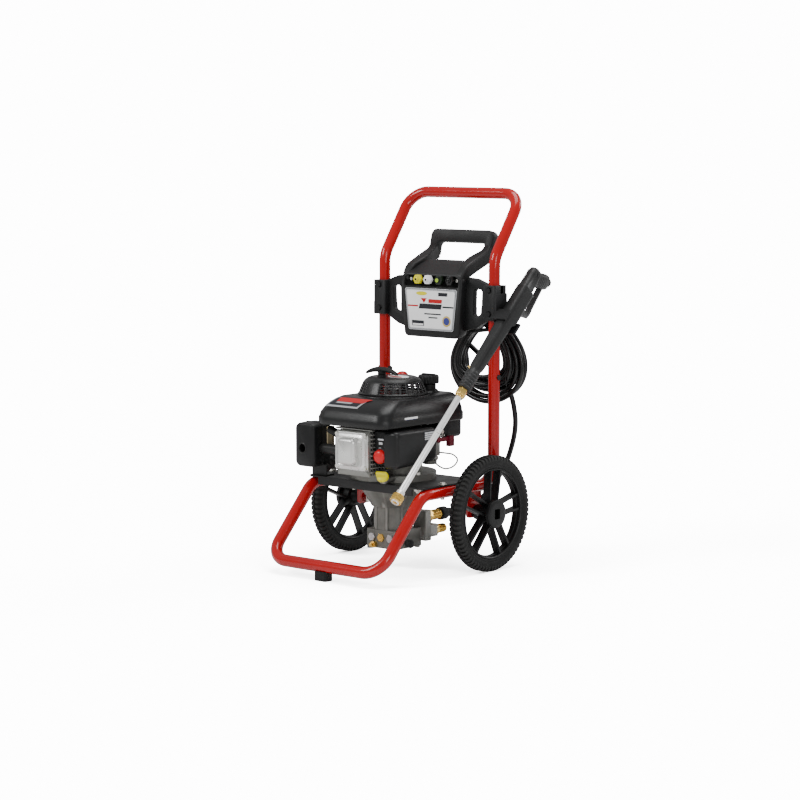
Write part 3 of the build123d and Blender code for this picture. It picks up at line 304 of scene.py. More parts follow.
def turned_ring(origin, direction, along, radius_at, segments):
    """One ring of points about an axis, radius_at giving the radius for each turn, in millimetres."""
    direction = Vector(direction).normalized()
    side, other = axes_for(direction)
    ring = []
    for step in range(segments):
        turn = 2 * math.pi * step / segments
        across = side * math.cos(turn) + other * math.sin(turn)
        ring.append(origin + direction * along / 1000 + across * radius_at(turn) / 1000)
    return ring


def skin(name, rings, closed=False):
    """Rings of equal point counts joined into a surface, capped at both ends or closed on itself."""
    count = len(rings[0])
    rows = len(rings)
    vertices = [point for ring in rings for point in ring]
    faces = []
    for row in range(rows if closed else rows - 1):
        low = row * count
        high = (row + 1) % rows * count
        for step in range(count):
            after = (step + 1) % count
            faces.append((low + step, low + after, high + after, high + step))
    if not closed:
        faces.append(tuple(range(count)))
        faces.append(tuple((rows - 1) * count + step for step in range(count)))
    return new_object(name, vertices, faces)


def lathe(name, origin, direction, profile, segments=48, closed=False):
    """A profile of (radius, distance along) in millimetres turned about an axis."""
    rings = []
    for radius, along in profile:
        rings.append(turned_ring(origin, direction, along, lambda turn: radius, segments))
    return skin(name, rings, closed)


def ribbed_cap(name, origin, direction, profile, ridges, depth, segments):
    """A turned cap with finger ridges round its sides, where a row of the profile asks for them."""
    rings = []
    for radius, along, ridged in profile:
        wave = depth if ridged else 0
        rings.append(turned_ring(origin, direction, along,
                                 lambda turn: radius - wave * max(0, math.cos(ridges * turn)), segments))
    return skin(name, rings)


def prism(name, outline, depth, place):
    """A flat outline (x, y) in millimetres given thickness, placed by a function of (x, y, height)."""
    count = len(outline)
    vertices = [place(x, y, 0) for x, y in outline] + [place(x, y, depth) for x, y in outline]
    faces = [tuple(range(count)), tuple(range(count, 2 * count))]
    for step in range(count):
        after = (step + 1) % count
        faces.append((step, after, count + after, count + step))
    return new_object(name, vertices, faces)


def rounded_outline(corners, radius, steps=5):
    """The corners of a polygon rounded off, each by an arc."""
    outline = []
    count = len(corners)
    for index, corner in enumerate(corners):
        here = Vector(corner)
        before = (Vector(corners[index - 1]) - here).normalized()
        after = (Vector(corners[(index + 1) % count]) - here).normalized()
        half = before.angle(after) / 2
        reach = radius / math.tan(half)
        centre = here + (before + after).normalized() * radius / math.sin(half)
        start = here + before * reach - centre
        end = here + after * reach - centre
        for step in range(steps + 1):
            point = start.lerp(end, step / steps).normalized() * radius
            outline.append(tuple(centre + point))
    return outline


def join(name, pieces):
    """Several pieces made into one mesh."""
    merged = bmesh.new()
    for piece in pieces:
        merged.from_mesh(piece.data)
        bpy.data.objects.remove(piece)
    mesh = bpy.data.meshes.new(name)
    merged.to_mesh(mesh)
    merged.free()
    return placed(name, mesh)


def evaluated_mesh(source):
    """A new mesh with the source's modifiers, or its curve, made real."""
    bpy.context.view_layer.update()
    return bpy.data.meshes.new_from_object(source.evaluated_get(bpy.context.evaluated_depsgraph_get()))


def bake(piece):
    """The piece's modifiers made part of its mesh."""
    shaped = evaluated_mesh(piece)
    piece.modifiers.clear()
    piece.data = shaped
    return piece


def carve(piece, cutter):
    """A hole of the cutter's shape, applied to the mesh."""
    modifier = piece.modifiers.new("carve", "BOOLEAN")
    modifier.operation = "DIFFERENCE"
    modifier.solver = "EXACT"
    modifier.object = cutter
    bake(piece)
    bpy.data.objects.remove(cutter)


def block(name, low, high):
    """A straight block between two corners in millimetres from the axle."""
    outline = [(low[0], low[1]), (high[0], low[1]), (high[0], high[1]), (low[0], high[1])]
    return prism(name, outline, high[2] - low[2], lambda x, y, h: at(x, y, low[2] + h))


def bar_curve(name, points, radius, roundness, steps):
    """A round bar, as a curve object, through points in millimetres from the axle."""
    curve = bpy.data.curves.new(name, "CURVE")
    curve.dimensions = "3D"
    curve.bevel_depth = radius / 1000
    curve.bevel_resolution = roundness
    curve.use_fill_caps = True
    spline = curve.splines.new("NURBS")
    spline.points.add(len(points) - 1)
    for place, point in zip(spline.points, points):
        place.co = (*at(*point), 1)
    spline.order_u = 3
    spline.use_endpoint_u = True
    spline.resolution_u = steps
    return placed(name, curve)


def pipe(name, points, radius):
    """The same bar as a mesh."""
    holder = bar_curve(name, points, radius, 4, 12)
    mesh = evaluated_mesh(holder)
    bpy.data.objects.remove(holder)
    made = placed(name, mesh)
    smooth(made, 60)
    return made


# ------------------------------------------------------------------ camera, light and floor
CAMERA_AZIMUTH = math.radians(40.48)
CAMERA_ELEVATION = math.radians(6.49)
CAMERA_DISTANCE = 5.373
camera_back = Vector((math.sin(CAMERA_AZIMUTH) * math.cos(CAMERA_ELEVATION),
                      -math.cos(CAMERA_AZIMUTH) * math.cos(CAMERA_ELEVATION), math.sin(CAMERA_ELEVATION)))
camera_right = Vector((math.cos(CAMERA_AZIMUTH), math.sin(CAMERA_AZIMUTH), 0))
looked_at = at(0, 0, 359.85) - camera_right * 0.04237
camera_data = bpy.data.cameras.new("camera")
camera_data.lens = 109.1
camera = placed("camera", camera_data)
camera.location = looked_at + camera_back * CAMERA_DISTANCE
camera.rotation_euler = camera_back.to_track_quat("Z", "Y").to_euler()
bpy.context.scene.camera = camera

world = bpy.data.worlds.new("studio")
bpy.context.scene.world = world
world.use_nodes = True
world_nodes = world.node_tree.nodes
world_links = world.node_tree.links
surround = world_nodes["Background"]
surround.inputs["Color"].default_value = (1, 1, 1, 1)
surround.inputs["Strength"].default_value = 0.5
backdrop = world_nodes.new("ShaderNodeBackground")
backdrop.inputs["Color"].default_value = (1, 1, 1, 1)
backdrop.inputs["Strength"].default_value = 14.0
seen = world_nodes.new("ShaderNodeLightPath")
choose = world_nodes.new("ShaderNodeMixShader")
world_links.new(seen.outputs["Is Camera Ray"], choose.inputs["Fac"])
world_links.new(surround.outputs["Background"], choose.inputs[1])
world_links.new(backdrop.outputs["Background"], choose.inputs[2])
world_links.new(choose.outputs["Shader"], world_nodes["World Output"].inputs["Surface"])


def softbox(name, place, size, power):
    data = bpy.data.lights.new(name, "AREA")
    data.shape = "RECTANGLE"
    data.size = size[0]
    data.size_y = size[1]
    data.energy = power
    lamp = placed(name, data)
    lamp.location = place
    lamp.rotation_euler = (Vector(place) - Vector((0, 0, 0.4))).to_track_quat("Z", "Y").to_euler()


softbox("key", (-1.6, -2.6, 2.6), (1.2, 1.2), 72)
softbox("fill", (2.8, -1.6, 1.5), (0.9, 1.6), 34)
softbox("top", (0.2, 0.4, 3.2), (1.8, 1.8), 62)
softbox("rim", (1.2, 2.6, 1.8), (1.6, 1.0), 30)

floor_mesh = bpy.data.meshes.new("floor")
floor_mesh.from_pydata([(-6, -6, 0), (6, -6, 0), (6, 6, 0), (-6, 6, 0)], [], [(0, 1, 2, 3)])
floor = placed("floor", floor_mesh)
floor_material = node_material("pale_floor")[0]
floor_shader = floor_material.node_tree.nodes["Principled BSDF"]
floor_shader.inputs["Base Color"].default_value = (0.86, 0.86, 0.86, 1)
floor_shader.inputs["Roughness"].default_value = 0.7
floor_shader.inputs["Specular IOR Level"].default_value = 0.2
floor_mesh.materials.append(floor_material)
floor.is_shadow_catcher = True

# ------------------------------------------------------------------ hose
HOSE_D = 10.5
COIL_X = 90.0
COIL_Z = 438.0
hose_route = [(40, 62, 107), (40, 114, 107), (66, 150, 132), (102, 160, 182), (136, 150, 228),
              (162, 143, 298), (160, 136, 352), (148, 130, 392)]
TURNS = 15
TURN_POINTS = 16


def coil_point(turn, angle, size, depth):
    """A point of one hanging turn: half an ellipse below, drawn in towards the hook above."""
    half_width = 58 + 48 * size
    below = 24 + 64 * size + 4 * math.sin(turn * 2.1)
    above = 88 + 24 * size
    rise = math.sin(angle)
    run = math.cos(angle)
    if rise < 0:
        return (COIL_X + half_width * run, depth, COIL_Z + below * rise)
    drawn = half_width * (0.25 * run + 0.75 * run * abs(run)) if rise > 0 else half_width * run
    return (COIL_X + drawn, depth, COIL_Z + above * rise)


TURN_SIZES = [0.55, 0.30, 0.12, 0.42, 0.78, 0.20, 0.50, 0.98, 0.35, 0.62, 0.08, 0.70, 0.90, 0.45, 0.28]
coil_route = []
for step in range(TURN_POINTS * TURNS):
    turn = step / TURN_POINTS
    angle = -0.55 + 2 * math.pi * turn
    which = int(turn)
    size = TURN_SIZES[which] + (TURN_SIZES[(which + 1) % TURNS] - TURN_SIZES[which]) * (turn - which)
    depth = 107 + 2.65 * turn + 3.5 * math.sin(1.7 * turn) + 2.2 * math.sin(angle + which)
    coil_route.append(coil_point(turn, angle, size, depth))

end_route = [(-12, 150, 500), (-6, 160, 470), (2, 166, 448), (2, 166, 424)]
hose_points = hose_route + coil_route + end_route
hose = bar_curve("hose", hose_points, HOSE_D / 2, 5, 10)
hose.data.materials.append(HOSE_JACKET)
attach(hose, "chassis")
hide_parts("hose_run", "hose_coil")

# ------------------------------------------------------------------ wheels
LUGS = 72
SPOKES = 5
SPOKE_START = math.radians(10)


def wheel_point(side, radius, turn, along):
    """A point of a wheel: radius and distance from the tyre's middle in millimetres, turn in radians."""
    return Vector((side * (0.2 + along / 1000), AXLE_Y + radius / 1000 * math.cos(turn),
                   WHEEL_R + radius / 1000 * math.sin(turn)))


def tyre(name, side):
    carcass = lathe("carcass", Vector((side * 0.2, AXLE_Y, WHEEL_R)), (side, 0, 0),
                    [(99, 9.4), (100.5, 11.2), (104, 12.6), (105.5, 12.2), (107, 13), (112, 13.9),
                     (117, 13.7), (121, 12.2), (123.6, 8.5), (124.0, 2), (124.0, -2), (123.6, -8.5),
                     (121, -12.2), (117, -13.7), (112, -13.9), (107, -13), (105.5, -12.2), (104, -12.6),
                     (100.5, -11.2), (99, -9.4)], segments=144, closed=True)
    section = [(113, 13.6), (117.5, 13.9), (121.5, 13.3), (125.2, 11.0), (126.6, 8.2), (126.6, 1.4),
               (122.5, 1.4), (117, 10)]
    vertices = []
    faces = []
    for flank in (-1, 1):
        for lug in range(LUGS):
            middle = 2 * math.pi * (lug + (0.5 if flank > 0 else 0)) / LUGS
            base = len(vertices)
            for edge in (-0.29, 0.29):
                for radius, along in section:
                    lean = 0.85 if radius > 124 else 1.0
                    turn = middle + edge * lean * 2 * math.pi / LUGS
                    vertices.append(wheel_point(side, radius, turn, along * flank))
            count = len(section)
            faces.append(tuple(base + step for step in range(count)))
            faces.append(tuple(base + count + step for step in range(count)))
            for step in range(count):
                after = (step + 1) % count
                faces.append((base + step, base + after, base + count + after, base + count + step))
    lugs = new_object("lugs", vertices, faces)
    piece = join(name + "_moulded", [carcass, lugs])
    smooth(piece, 40)
    install(piece, TYRE_RUBBER, name.replace("_tyre", "_wheel"), name)


def rim(name, side):
    centre = Vector((side * 0.2, AXLE_Y, WHEEL_R))
    ring = lathe("ring", centre, (side, 0, 0), [(100.2, 9.0), (98.6, 11.4), (96.6, 11.6), (95.2, 10.4),
                                                (94.6, 3), (92.5, 2), (92.5, -2), (94.6, -3), (95.2, -10.4),
                                                (96.6, -11.6), (98.6, -11.4), (100.2, -9.0)], segments=96,
                 closed=True)
    hub = lathe("hub", centre, (side, 0, 0), [(6.5, -35.6), (16, -35.6), (16.6, -34.5), (17.5, -12),
                                              (24, -9.5), (25, 2), (22, 9.5), (24, 11.5), (29.6, 12.2),
                                              (30.9, 13.6), (30.9, 19), (30, 20.9), (27.6, 22.0),
                                              (22, 22.3), (1, 22.3)], segments=72)
    parts = [ring, hub]
    for spoke in range(SPOKES):
        middle = SPOKE_START + 2 * math.pi * spoke / SPOKES
        for inner, outer, low, high, wide in ((-12.5, -16.5, -9.5, 8.5, 4.6), (12.5, 16.5, -9.5, 8.5, 4.6),
                                              (0, 0, -2.0, 2.0, 27)):
            vertices = []
            for radius, offset, half in ((20, inner, wide / 2), (60, (inner + outer) / 2, wide / 2 + 0.4),
                                         (95.5, outer, wide / 2 + 1.2)):
                for along, shift in ((low, -half), (low, half), (high, half * 0.75), (high, -half * 0.75)):
                    reach = math.hypot(radius, offset + shift)
                    turn = middle + math.atan2(offset + shift, radius)
                    flare = 1.0 if radius > 30 else 1.15
                    vertices.append(wheel_point(side, reach, turn, along * flare))
            faces = [(0, 1, 2, 3), (8, 9, 10, 11)]
            for row in (0, 4):
                faces += [(row + k, row + (k + 1) % 4, row + 4 + (k + 1) % 4, row + 4 + k) for k in range(4)]
            parts.append(new_object("rib", vertices, faces))
    piece = join(name + "_moulded", parts)
    cutter = block("slot", (side * 222 - 4, -9, WHEEL_R * 1000 - 11), (side * 222 + 4, 9, WHEEL_R * 1000
            + 11))
    carve(piece, cutter)
    rounded(piece, 0.9, 2, 35)
    body = name.replace("_wheel_rim", "_wheel")
    install(piece, RIM_PLASTIC, body, name)
    pit = block(name + "_slot_floor", (side * 217.6 - 0.4, -9.2, WHEEL_R * 1000 - 11.2),
                (side * 217.6 + 0.4, 9.2, WHEEL_R * 1000 + 11.2))
    install(pit, DARK_PIT, body, slot=SLOTS[name])


for label, side in (("left", -1), ("right", 1)):
    tyre(f"{label}_tyre", side)
    rim(f"{label}_wheel_rim", side)

# ------------------------------------------------------------------ frame and deck
for node in ("base_frame", "handle_frame"):
    paint(node, RED_PAINT)
softened("stub_axles", ZINC, 0.5)
softened("front_foot", SOFT_RUBBER, 1.5, 3)
softened("deck_plate", BLACK_PAINT, 0.9)
softened("zinc_bolts", ZINC, 0.5)
softened("black_screws", BLACK_PAINT, 0.6)


def washers():
    """Plain washers under the deck bolt heads."""
    parts = [lathe("washer", at(x, y, 198), (0, 0, 1), [(4.2, 0.2), (9, 0.2), (9, 1.6), (4.2, 1.6)], 32)
             for x in (-158, 158) for y in (-110, -40)]
    piece = join("deck_washers", parts)
    smooth(piece)
    install(piece, ZINC, "chassis", slot=SLOTS["zinc_bolts"])


washers()

# ------------------------------------------------------------------ engine cowl and starter
COWL_RINGS = [(101, 235, 46, 322, 30), (103, 236.5, 48, 324, 32), (103, 236.5, 48, 338, 32),
              (101, 234.5, 46.5, 341, 31), (100, 233, 46.5, 348, 31), (97, 225, 45.5, 357, 31),
              (92, 211, 43.5, 367, 30), (86, 196, 41, 374, 29), (82, 188, 38.5, 377.5, 27),
              (79, 184, 36, 379.2, 26)]


def cowl_ring(half_x, front, rear, z, corner):
    outline = rounded_outline([(-half_x, -front), (half_x, -front), (half_x, rear), (-half_x, rear)],
                              corner, 8)
    return [at(x, y, z) for x, y in outline]


def cowl():
    rings = [cowl_ring(*row) for row in COWL_RINGS]
    half_x, front, rear, z, corner = COWL_RINGS[0]
    hollow = cowl_ring(half_x - 2.5, front - 2.5, rear - 2.5, z, corner - 2)
    inner_top = cowl_ring(80, 196, 30, 366, 24)
    shell = skin("shell", [inner_top, hollow] + rings)
    collar = lathe("collar", at(0, CRANK_Y, 378.8), (0, 0, 1),
                   [(60, -6), (80, -6), (80.5, 0), (79.5, 2.4), (77, 3), (60, 3)], 72)
    boss = lathe("boss", at(-44, -6, 374), (0, 0, 1), [(4, 0), (18, 0), (16, 6), (12.5, 10), (12, 27.6),
                                                       (4, 27.6)], 40)
    neck = lathe("neck", at(22, 6, 370), (0, 0, 1), [(15, 0), (29, 0), (27, 8), (21, 12), (19, 15),
                                                     (16.6, 16), (15, 16)], 40)
    piece = join("blower_housing_moulded", [shell, collar, boss, neck])
    rounded(piece, 0.8, 2, 40)
    install(piece, COWL_PLASTIC, "chassis", "blower_housing")


cowl()


def slope_point(x, share, lift):
    """A point on the cowl's front slope: share 0 at its foot, 1 at its top."""
    rows = COWL_RINGS[5:9]
    place = share * (len(rows) - 1)
    index = min(int(place), len(rows) - 2)
    part = place - index
    front = rows[index][1] + (rows[index + 1][1] - rows[index][1]) * part
    z = rows[index][3] + (rows[index + 1][3] - rows[index][3]) * part
    return at(x, -front - 0.5 * lift, z + 0.85 * lift)


def slope_patch(name, left_low, right_low, left_high, right_high, low, high, lift, material):
    """A thin printed plate that follows the front slope."""
    across = 8
    up = 6
    vertices = []
    for level in (lift - 0.5, lift):
        for row in range(up + 1):
            share = low + (high - low) * row / up
            left = left_low + (left_high - left_low) * row / up
            right = right_low + (right_high - right_low) * row / up
            for column in range(across + 1):
                vertices.append(slope_point(left + (right - left) * column / across, share, level))
    layer = (up + 1) * (across + 1)
    faces = []
    for level in (0, layer):
        for row in range(up):
            for column in range(across):
                start = level + row * (across + 1) + column
                faces.append((start, start + 1, start + across + 2, start + across + 1))
    border = list(range(across + 1)) + [row * (across + 1) + across for row in range(1, up + 1)]
    border += [up * (across + 1) + column for column in range(across - 1, -1, -1)]
    border += [row * (across + 1) for row in range(up - 1, 0, -1)]
    for here, after in zip(border, border[1:] + border[:1]):
        faces.append((here, after, layer + after, layer + here))
    piece = new_object(name, vertices, faces)
    smooth(piece)
    printed(piece, material)


slope_patch("cowl_badge_base", -80, 12, -70, 24, 0.10, 0.95, 1.3, FILM_SILVER)
slope_patch("cowl_badge_inner", -75, 8, -67, 19, 0.20, 0.90, 1.5, FILM_DARK)
slope_patch("cowl_badge_red", -60, 14, -60, 30, 0.46, 0.93, 1.8, FILM_RED)
slope_patch("cowl_badge_bar", -58, -16, -56, -12, 0.34, 0.44, 1.8, FILM_SILVER)


def recoil_cover():
    columns = 84
    rows = [(76, 382.6), (76, 385.0), (74.4, 386), (73.4, 388), (72, 392), (71.4, 393.2), (69.8, 397.4),
            (69.2, 398.6), (67.5, 402.8), (66.8, 404), (64.6, 408.6), (62.6, 411.4), (58.6, 415.2),
            (54, 418), (48, 419.8), (30, 420.3), (12, 420.4)]
    window_rows = {3, 5, 7, 9}
    vertices = []
    for radius, z in rows:
        for column in range(columns):
            turn = 2 * math.pi * column / columns - math.pi / 2
            vertices.append(at(radius * math.cos(turn), CRANK_Y + radius * math.sin(turn), z))
    faces = []
    plain = 4
    for row in range(len(rows) - 1):
        for column in range(columns):
            after = (column + 1) % columns
            near_front = column < plain or column >= columns - plain
            if row in window_rows and not near_front and column % 3 != 0:
                continue
            faces.append((row * columns + column, row * columns + after, (row + 1) * columns + after,
                          (row + 1) * columns + column))
    faces.append(tuple((len(rows) - 1) * columns + column for column in range(columns)))
    piece = new_object("recoil_cover_moulded", vertices, faces)
    thickness = piece.modifiers.new("wall", "SOLIDIFY")
    thickness.thickness = 0.0024
    thickness.offset = -1
    smooth(piece, 50)
    install(piece, COWL_PLASTIC, "chassis", "recoil_cover")
    guide = lathe("rope_guide", at(ROPE_X, ROPE_Y, 419), (0, 0, 1), [(2.3, 0), (11, 0), (10.4, 1.5),
            (9, 2.2), (8.6, 4.6), (7.6, 5.1), (2.3, 5.1)], 40, closed=True)
    smooth(guide)
    install(guide, BLACK_PLASTIC, "chassis", slot=SLOTS["recoil_cover"])
    badge = prism("recoil_badge", [(31 * math.cos(t * math.pi / 24), 22 * math.sin(t * math.pi / 24))
                                   for t in range(48)], 0.5,
                  lambda x, y, h: at(18 + 0.9 * x + 0.3 * y, -92 + 0.9 * y - 0.3 * x, 420.4 + h))
    rounded(badge, 0.2)
    printed(badge, WHITE)
    stripe = prism("recoil_badge_stripe", [(26 * math.cos(t * math.pi / 24), 8 * math.sin(t * math.pi / 24))
                                           for t in range(48)], 0.35,
                   lambda x, y, h: at(16 + 0.9 * x + 0.3 * y, -99 + 0.9 * y - 0.3 * x, 420.9 + h))
    printed(stripe, FILM_RED)


recoil_cover()
softened("flywheel", CAST_GREY, 0.6)
softened("starter_pulley", WHITE, 0.4)
softened("crankshaft", STEEL, 0.5)


def starter_grip():
    rings = []
    for step in range(25):
        share = step / 24 * 2 - 1
        x = 45 * share
        top = 441.5 - 13.0 * abs(share) ** 2.2
        thick = 11.5 - 6.5 * abs(share) ** 1.6
        wide = 9.0 - 4.5 * abs(share) ** 3
        if abs(share) == 1:
            thick *= 0.45
            wide *= 0.5
            top -= 1.4
        rings.append([at(ROPE_X + x, ROPE_Y + wide * math.cos(t * math.pi / 8), top - thick / 2
                         + thick / 2 * math.sin(t * math.pi / 8)) for t in range(16)])
    bar = skin("bar", rings)
    stem = lathe("stem", at(ROPE_X, ROPE_Y, 424.6), (0, 0, 1), [(2, 0), (8.2, 0), (9, 1.2), (8.4, 4),
            (9.5, 9), (2, 9)], 32)
    piece = join("starter_grip_moulded", [bar, stem])
    smooth(piece, 50)
    install(piece, SOFT_RUBBER, "starter_grip", "starter_grip")


starter_grip()


def starter_rope():
    rope = lathe("starter_rope_braid", at(ROPE_X, ROPE_Y, 398), (0, 0, 1),
                 [(1.5 + 0.35 * (k % 2), 26.6 * k / 40) for k in range(41)], 16)
    smooth(rope, 80)
    rope.data.materials.append(WHITE)
    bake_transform(rope)
    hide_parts("starter_rope")


starter_rope()


def fuel_cap():
    body = ribbed_cap("cap", at(22, 6, 399), (0, 0, 1),
                      [(16.4, 8, 0), (16.4, 0, 0), (22.2, 0, 0), (23, 1.2, 1), (23, 13.5, 1), (22, 16.5, 1),
                       (19.5, 18.2, 0), (14, 18.4, 0), (13.4, 17.2, 0), (4, 17.2, 0)], 18, 1.7, 144)
    bar = block("bar", (22 - 17, 6 - 3.2, 416), (22 + 17, 6 + 3.2, 419.8))
    piece = join("fuel_cap_moulded", [body, bar])
    rounded(piece, 0.6, 2, 40)
    install(piece, BLACK_PLASTIC, "fuel_cap", "fuel_cap")


fuel_cap()


def stop_knob():
    piece = lathe("stop_knob_moulded", at(-44, -6, 402.3), (0, 0, 1), [(2, 0), (12, 0), (13.6, 0.8),
            (14, 3), (13.8, 8), (12.6, 12.6), (10, 16), (6.5, 18.2), (2, 19)], 48)
    smooth(piece)
    install(piece, RED_PLASTIC, "stop_knob", "stop_knob")


stop_knob()
softened("fuel_tank", BLACK_PLASTIC, 1.5, 3)

# ------------------------------------------------------------------ panel
PANEL_Y = 41.0
NOZZLES = {"yellow": -33.0, "white": -4.0, "green": 28.0, "black": 59.0}
NOZZLE_Z = 625.0


def corner_outline(corners, radii, steps=6):
    """Like rounded_outline, with a radius for each corner."""
    outline = []
    for index, radius in enumerate(radii):
        outline += rounded_outline(corners, radius, steps)[index * (steps + 1):(index + 1) * (steps + 1)]
    return outline


def panel_ring(y, half_top, half_low, top, low, upper_radius, lower_radius):
    outline = corner_outline([(-half_low, low), (half_low, low), (half_top, top), (-half_top, top)],
                             [lower_radius, lower_radius, upper_radius, upper_radius])
    return [at(x, y, z) for x, z in outline]


def panel():
    rings = [panel_ring(62, 52, 50, 640, 520, 10, 6), panel_ring(97, 54, 52, 655, 515, 12, 6),
             panel_ring(99, 58, 57, 667, 510, 14, 8), panel_ring(90, 70, 64, 664, 506, 17, 9),
             panel_ring(75, 83, 73, 656, 501, 20, 10), panel_ring(60, 89, 77, 647, 497.5, 22, 11),
             panel_ring(48, 89.5, 77.5, 641, 497, 21, 11), panel_ring(42.5, 88.5, 76.5, 638.5, 497, 19, 11),
             panel_ring(41, 87, 75, 636.5, 498.6, 18, 10), panel_ring(40.4, 84.5, 72.5, 634, 501, 17, 9)]
    body = skin("body", rings)
    well = prism("well", corner_outline([(-78, 609), (78, 609), (76, 634), (-76, 634)], [4, 4, 11, 11]), 9,
                 lambda x, z, h: at(x, 37 + h, z))
    carve(body, well)
    rounded(body, 0.8, 2, 32)
    parts = [body]
    for side in (-1, 1):
        wing = prism("wing", rounded_outline([(side * 60, 508), (side * 112, 522), (side * 146, 541),
                                              (side * 146, 618), (side * 112, 630),
                                              (side * 60, 634)][::side], 3), 15, lambda x, z,
                     h: at(x, 60 + h, z))
        carve(wing, prism("slot", corner_outline([(side * 103, 543), (side * 126, 552), (side * 129, 607),
                                                  (side * 105, 607)][::side], [7, 7, 7, 7]), 30,
                          lambda x, z, h: at(x, 50 + h, z)))
        parts.append(wing)
        clamp = prism("clamp", rounded_outline([(141, 47), (175, 47), (175, 80), (141, 80)], 3.5), 77,
                      lambda x, y, h: at(side * x, y, 541 + h))
        carve(clamp, lathe("bore", at(side * 158, 67, 530), (0, 0, 1), [(12.75, 0), (12.75, 100)], 64))
        for z in (555, 607):
            carve(clamp, lathe("recess", at(side * 158, 40, z), (0, 1, 0), [(6.4, 0), (6.4, 10)], 28))
        parts.append(clamp)
        arm_rings = []
        for y, top, inner, outer, tall in ((44, 632, 68, 84, 14), (49, 641, 67, 86.5, 20),
                                           (56, 650.5, 66, 88, 25), (65, 659, 64, 88.6, 27),
                                           (80, 666, 60, 88.8, 27), (99, 674.2, 57.5, 89, 27.5),
                                           (120, 683, 62, 89.3, 28), (136, 689.5, 66, 89.5, 28),
                                           (146, 699, 67.5, 89.6, 33)):
            corners = [(inner, top - tall), (outer, top - tall), (outer, top), (inner, top)]
            arm_rings.append([at(side * x, y - 2.4 + (top - z) * 0.38, z)
                              for x, z in rounded_outline(corners, 4.5, 4)])
        parts.append(skin("arm", arm_rings))
    loop_outline = corner_outline([(-90, 676), (-90, 733), (90, 733), (90, 676)], [3, 15, 15, 3])
    window = corner_outline([(-67.5, 660), (-67.5, 709.5), (67.5, 709.5), (67.5, 660)], [2, 9, 9, 2])
    loop = prism("loop", loop_outline, 20, lambda x, z, h: at(x, 138 + (z - 676) * 0.237 + h, z - 0.23 * h))
    carve(loop, prism("window", window, 60, lambda x, z, h: at(x, 118 + (z - 676) * 0.237 + h,
            z - 0.23 * h)))
    parts.append(loop)
    for piece in parts[1:]:
        rounded(piece, 2.2 if piece.name.startswith("loop") else 1.3, 3, 35)
        bake(piece)
    bake(body)
    whole = join("panel_body_moulded", parts)
    smooth(whole, 38)
    install(whole, PANEL_PLASTIC, "chassis", "panel_body")
    floor_plate = prism("nozzle_well_floor", corner_outline([(-76, 611), (76, 611), (74, 632.5),
            (-74, 632.5)], [3, 3, 10, 10]), 0.5, lambda x, z, h: at(x, 45.2 + h, z))
    install(floor_plate, DARK_PIT, "chassis", slot=SLOTS["panel_body"])


panel()
softened("panel_clamps", PANEL_PLASTIC, 1.2, 3)


def face_plate(name, outline, front, material, thick=0.5):
    """A printed shape on the panel's face, its front surface so many millimetres before it."""
    piece = prism(name, outline, thick, lambda x, z, h: at(x, PANEL_Y - front + h, z))
    printed(piece, material)
    return piece


def oval(x, z, half_x, half_z, count=40):
    return [(x + half_x * math.cos(2 * math.pi * k / count), z + half_z * math.sin(2 * math.pi * k / count))
            for k in range(count)]


def label():
    outer = rounded_outline([(-64, 512), (64, 512), (75, 605), (-75, 605)], 5)
    plate = prism("label_plate_film", outer, 1.4, lambda x, z, h: at(x, PANEL_Y - 1.5 + h, z))
    rounded(plate, 0.3)
    install(plate, FILM_SILVER, "chassis", "label_plate")
    face_plate("label_line", rounded_outline([(-62.3, 513.8), (62.3, 513.8), (73, 603.2), (-73, 603.2)],
                                             4.4), 1.7, FILM_DARK)
    face_plate("label_rim", rounded_outline([(-61.5, 514.6), (61.5, 514.6), (72.1, 602.4), (-72.1, 602.4)],
                                            4.2), 1.9, FILM_SILVER)
    face_plate("label_field", rounded_outline([(-59.2, 516.8), (59.2, 516.8), (69.4, 600.2),
                                               (-69.4, 600.2)], 4), 2.1, WHITE)
    face_plate("label_yellow", oval(-26, 593.5, 16, 4.4), 2.35, YELLOW)
    face_plate("label_dark_tab", rounded_outline([(22, 589), (48, 589), (48.6, 597), (22, 597)], 1.2), 2.35,
               FILM_DARK)
    face_plate("label_red_mark", [(-28, 583), (-19, 572.5), (-11, 583)], 2.35, FILM_RED)
    face_plate("label_red_bar", rounded_outline([(-6, 573), (32, 573), (33.5, 581.5), (-6, 581.5)], 1.4),
               2.35, FILM_RED)
    face_plate("label_red_stripe", [(-65, 563.6), (-36, 563.6), (-35.6, 567), (-65.4, 567)], 2.35, FILM_RED)
    face_plate("label_dark_stripe", [(34, 563.6), (65, 563.6), (65.4, 567), (34.4, 567)], 2.35, FILM_DARK)
    face_plate("label_dark_bar", [(-34, 559.6), (30, 559.6), (33, 571), (-31, 571)], 2.35, FILM_DARK)
    for row, (low, high) in enumerate(((-18, 30), (-6, 20))):
        face_plate(f"label_grey_line_{row}", [(low, 547 - 8 * row), (high, 547 - 8 * row),
                                              (high, 550 - 8 * row), (low, 550 - 8 * row)], 2.3, FILM_DARK)
    face_plate("label_box", rounded_outline([(-53, 521), (-19, 521), (-19, 533), (-54, 533)], 1), 2.35,
               FILM_DARK)
    face_plate("label_box_light", rounded_outline([(-51, 522.4), (-21, 522.4), (-21, 526), (-51.5, 526)],
                                                  0.8), 2.5, WHITE)
    seal = [(46 + (11.5 + 1.2 * (k % 2)) * math.cos(2 * math.pi * k / 36),
             534 + (11.5 + 1.2 * (k % 2)) * math.sin(2 * math.pi * k / 36)) for k in range(36)]
    face_plate("label_seal", seal, 2.35, FILM_GOLD)
    face_plate("label_seal_middle", oval(46, 534, 8.4, 8.4), 2.5, FILM_BLUE)


label()

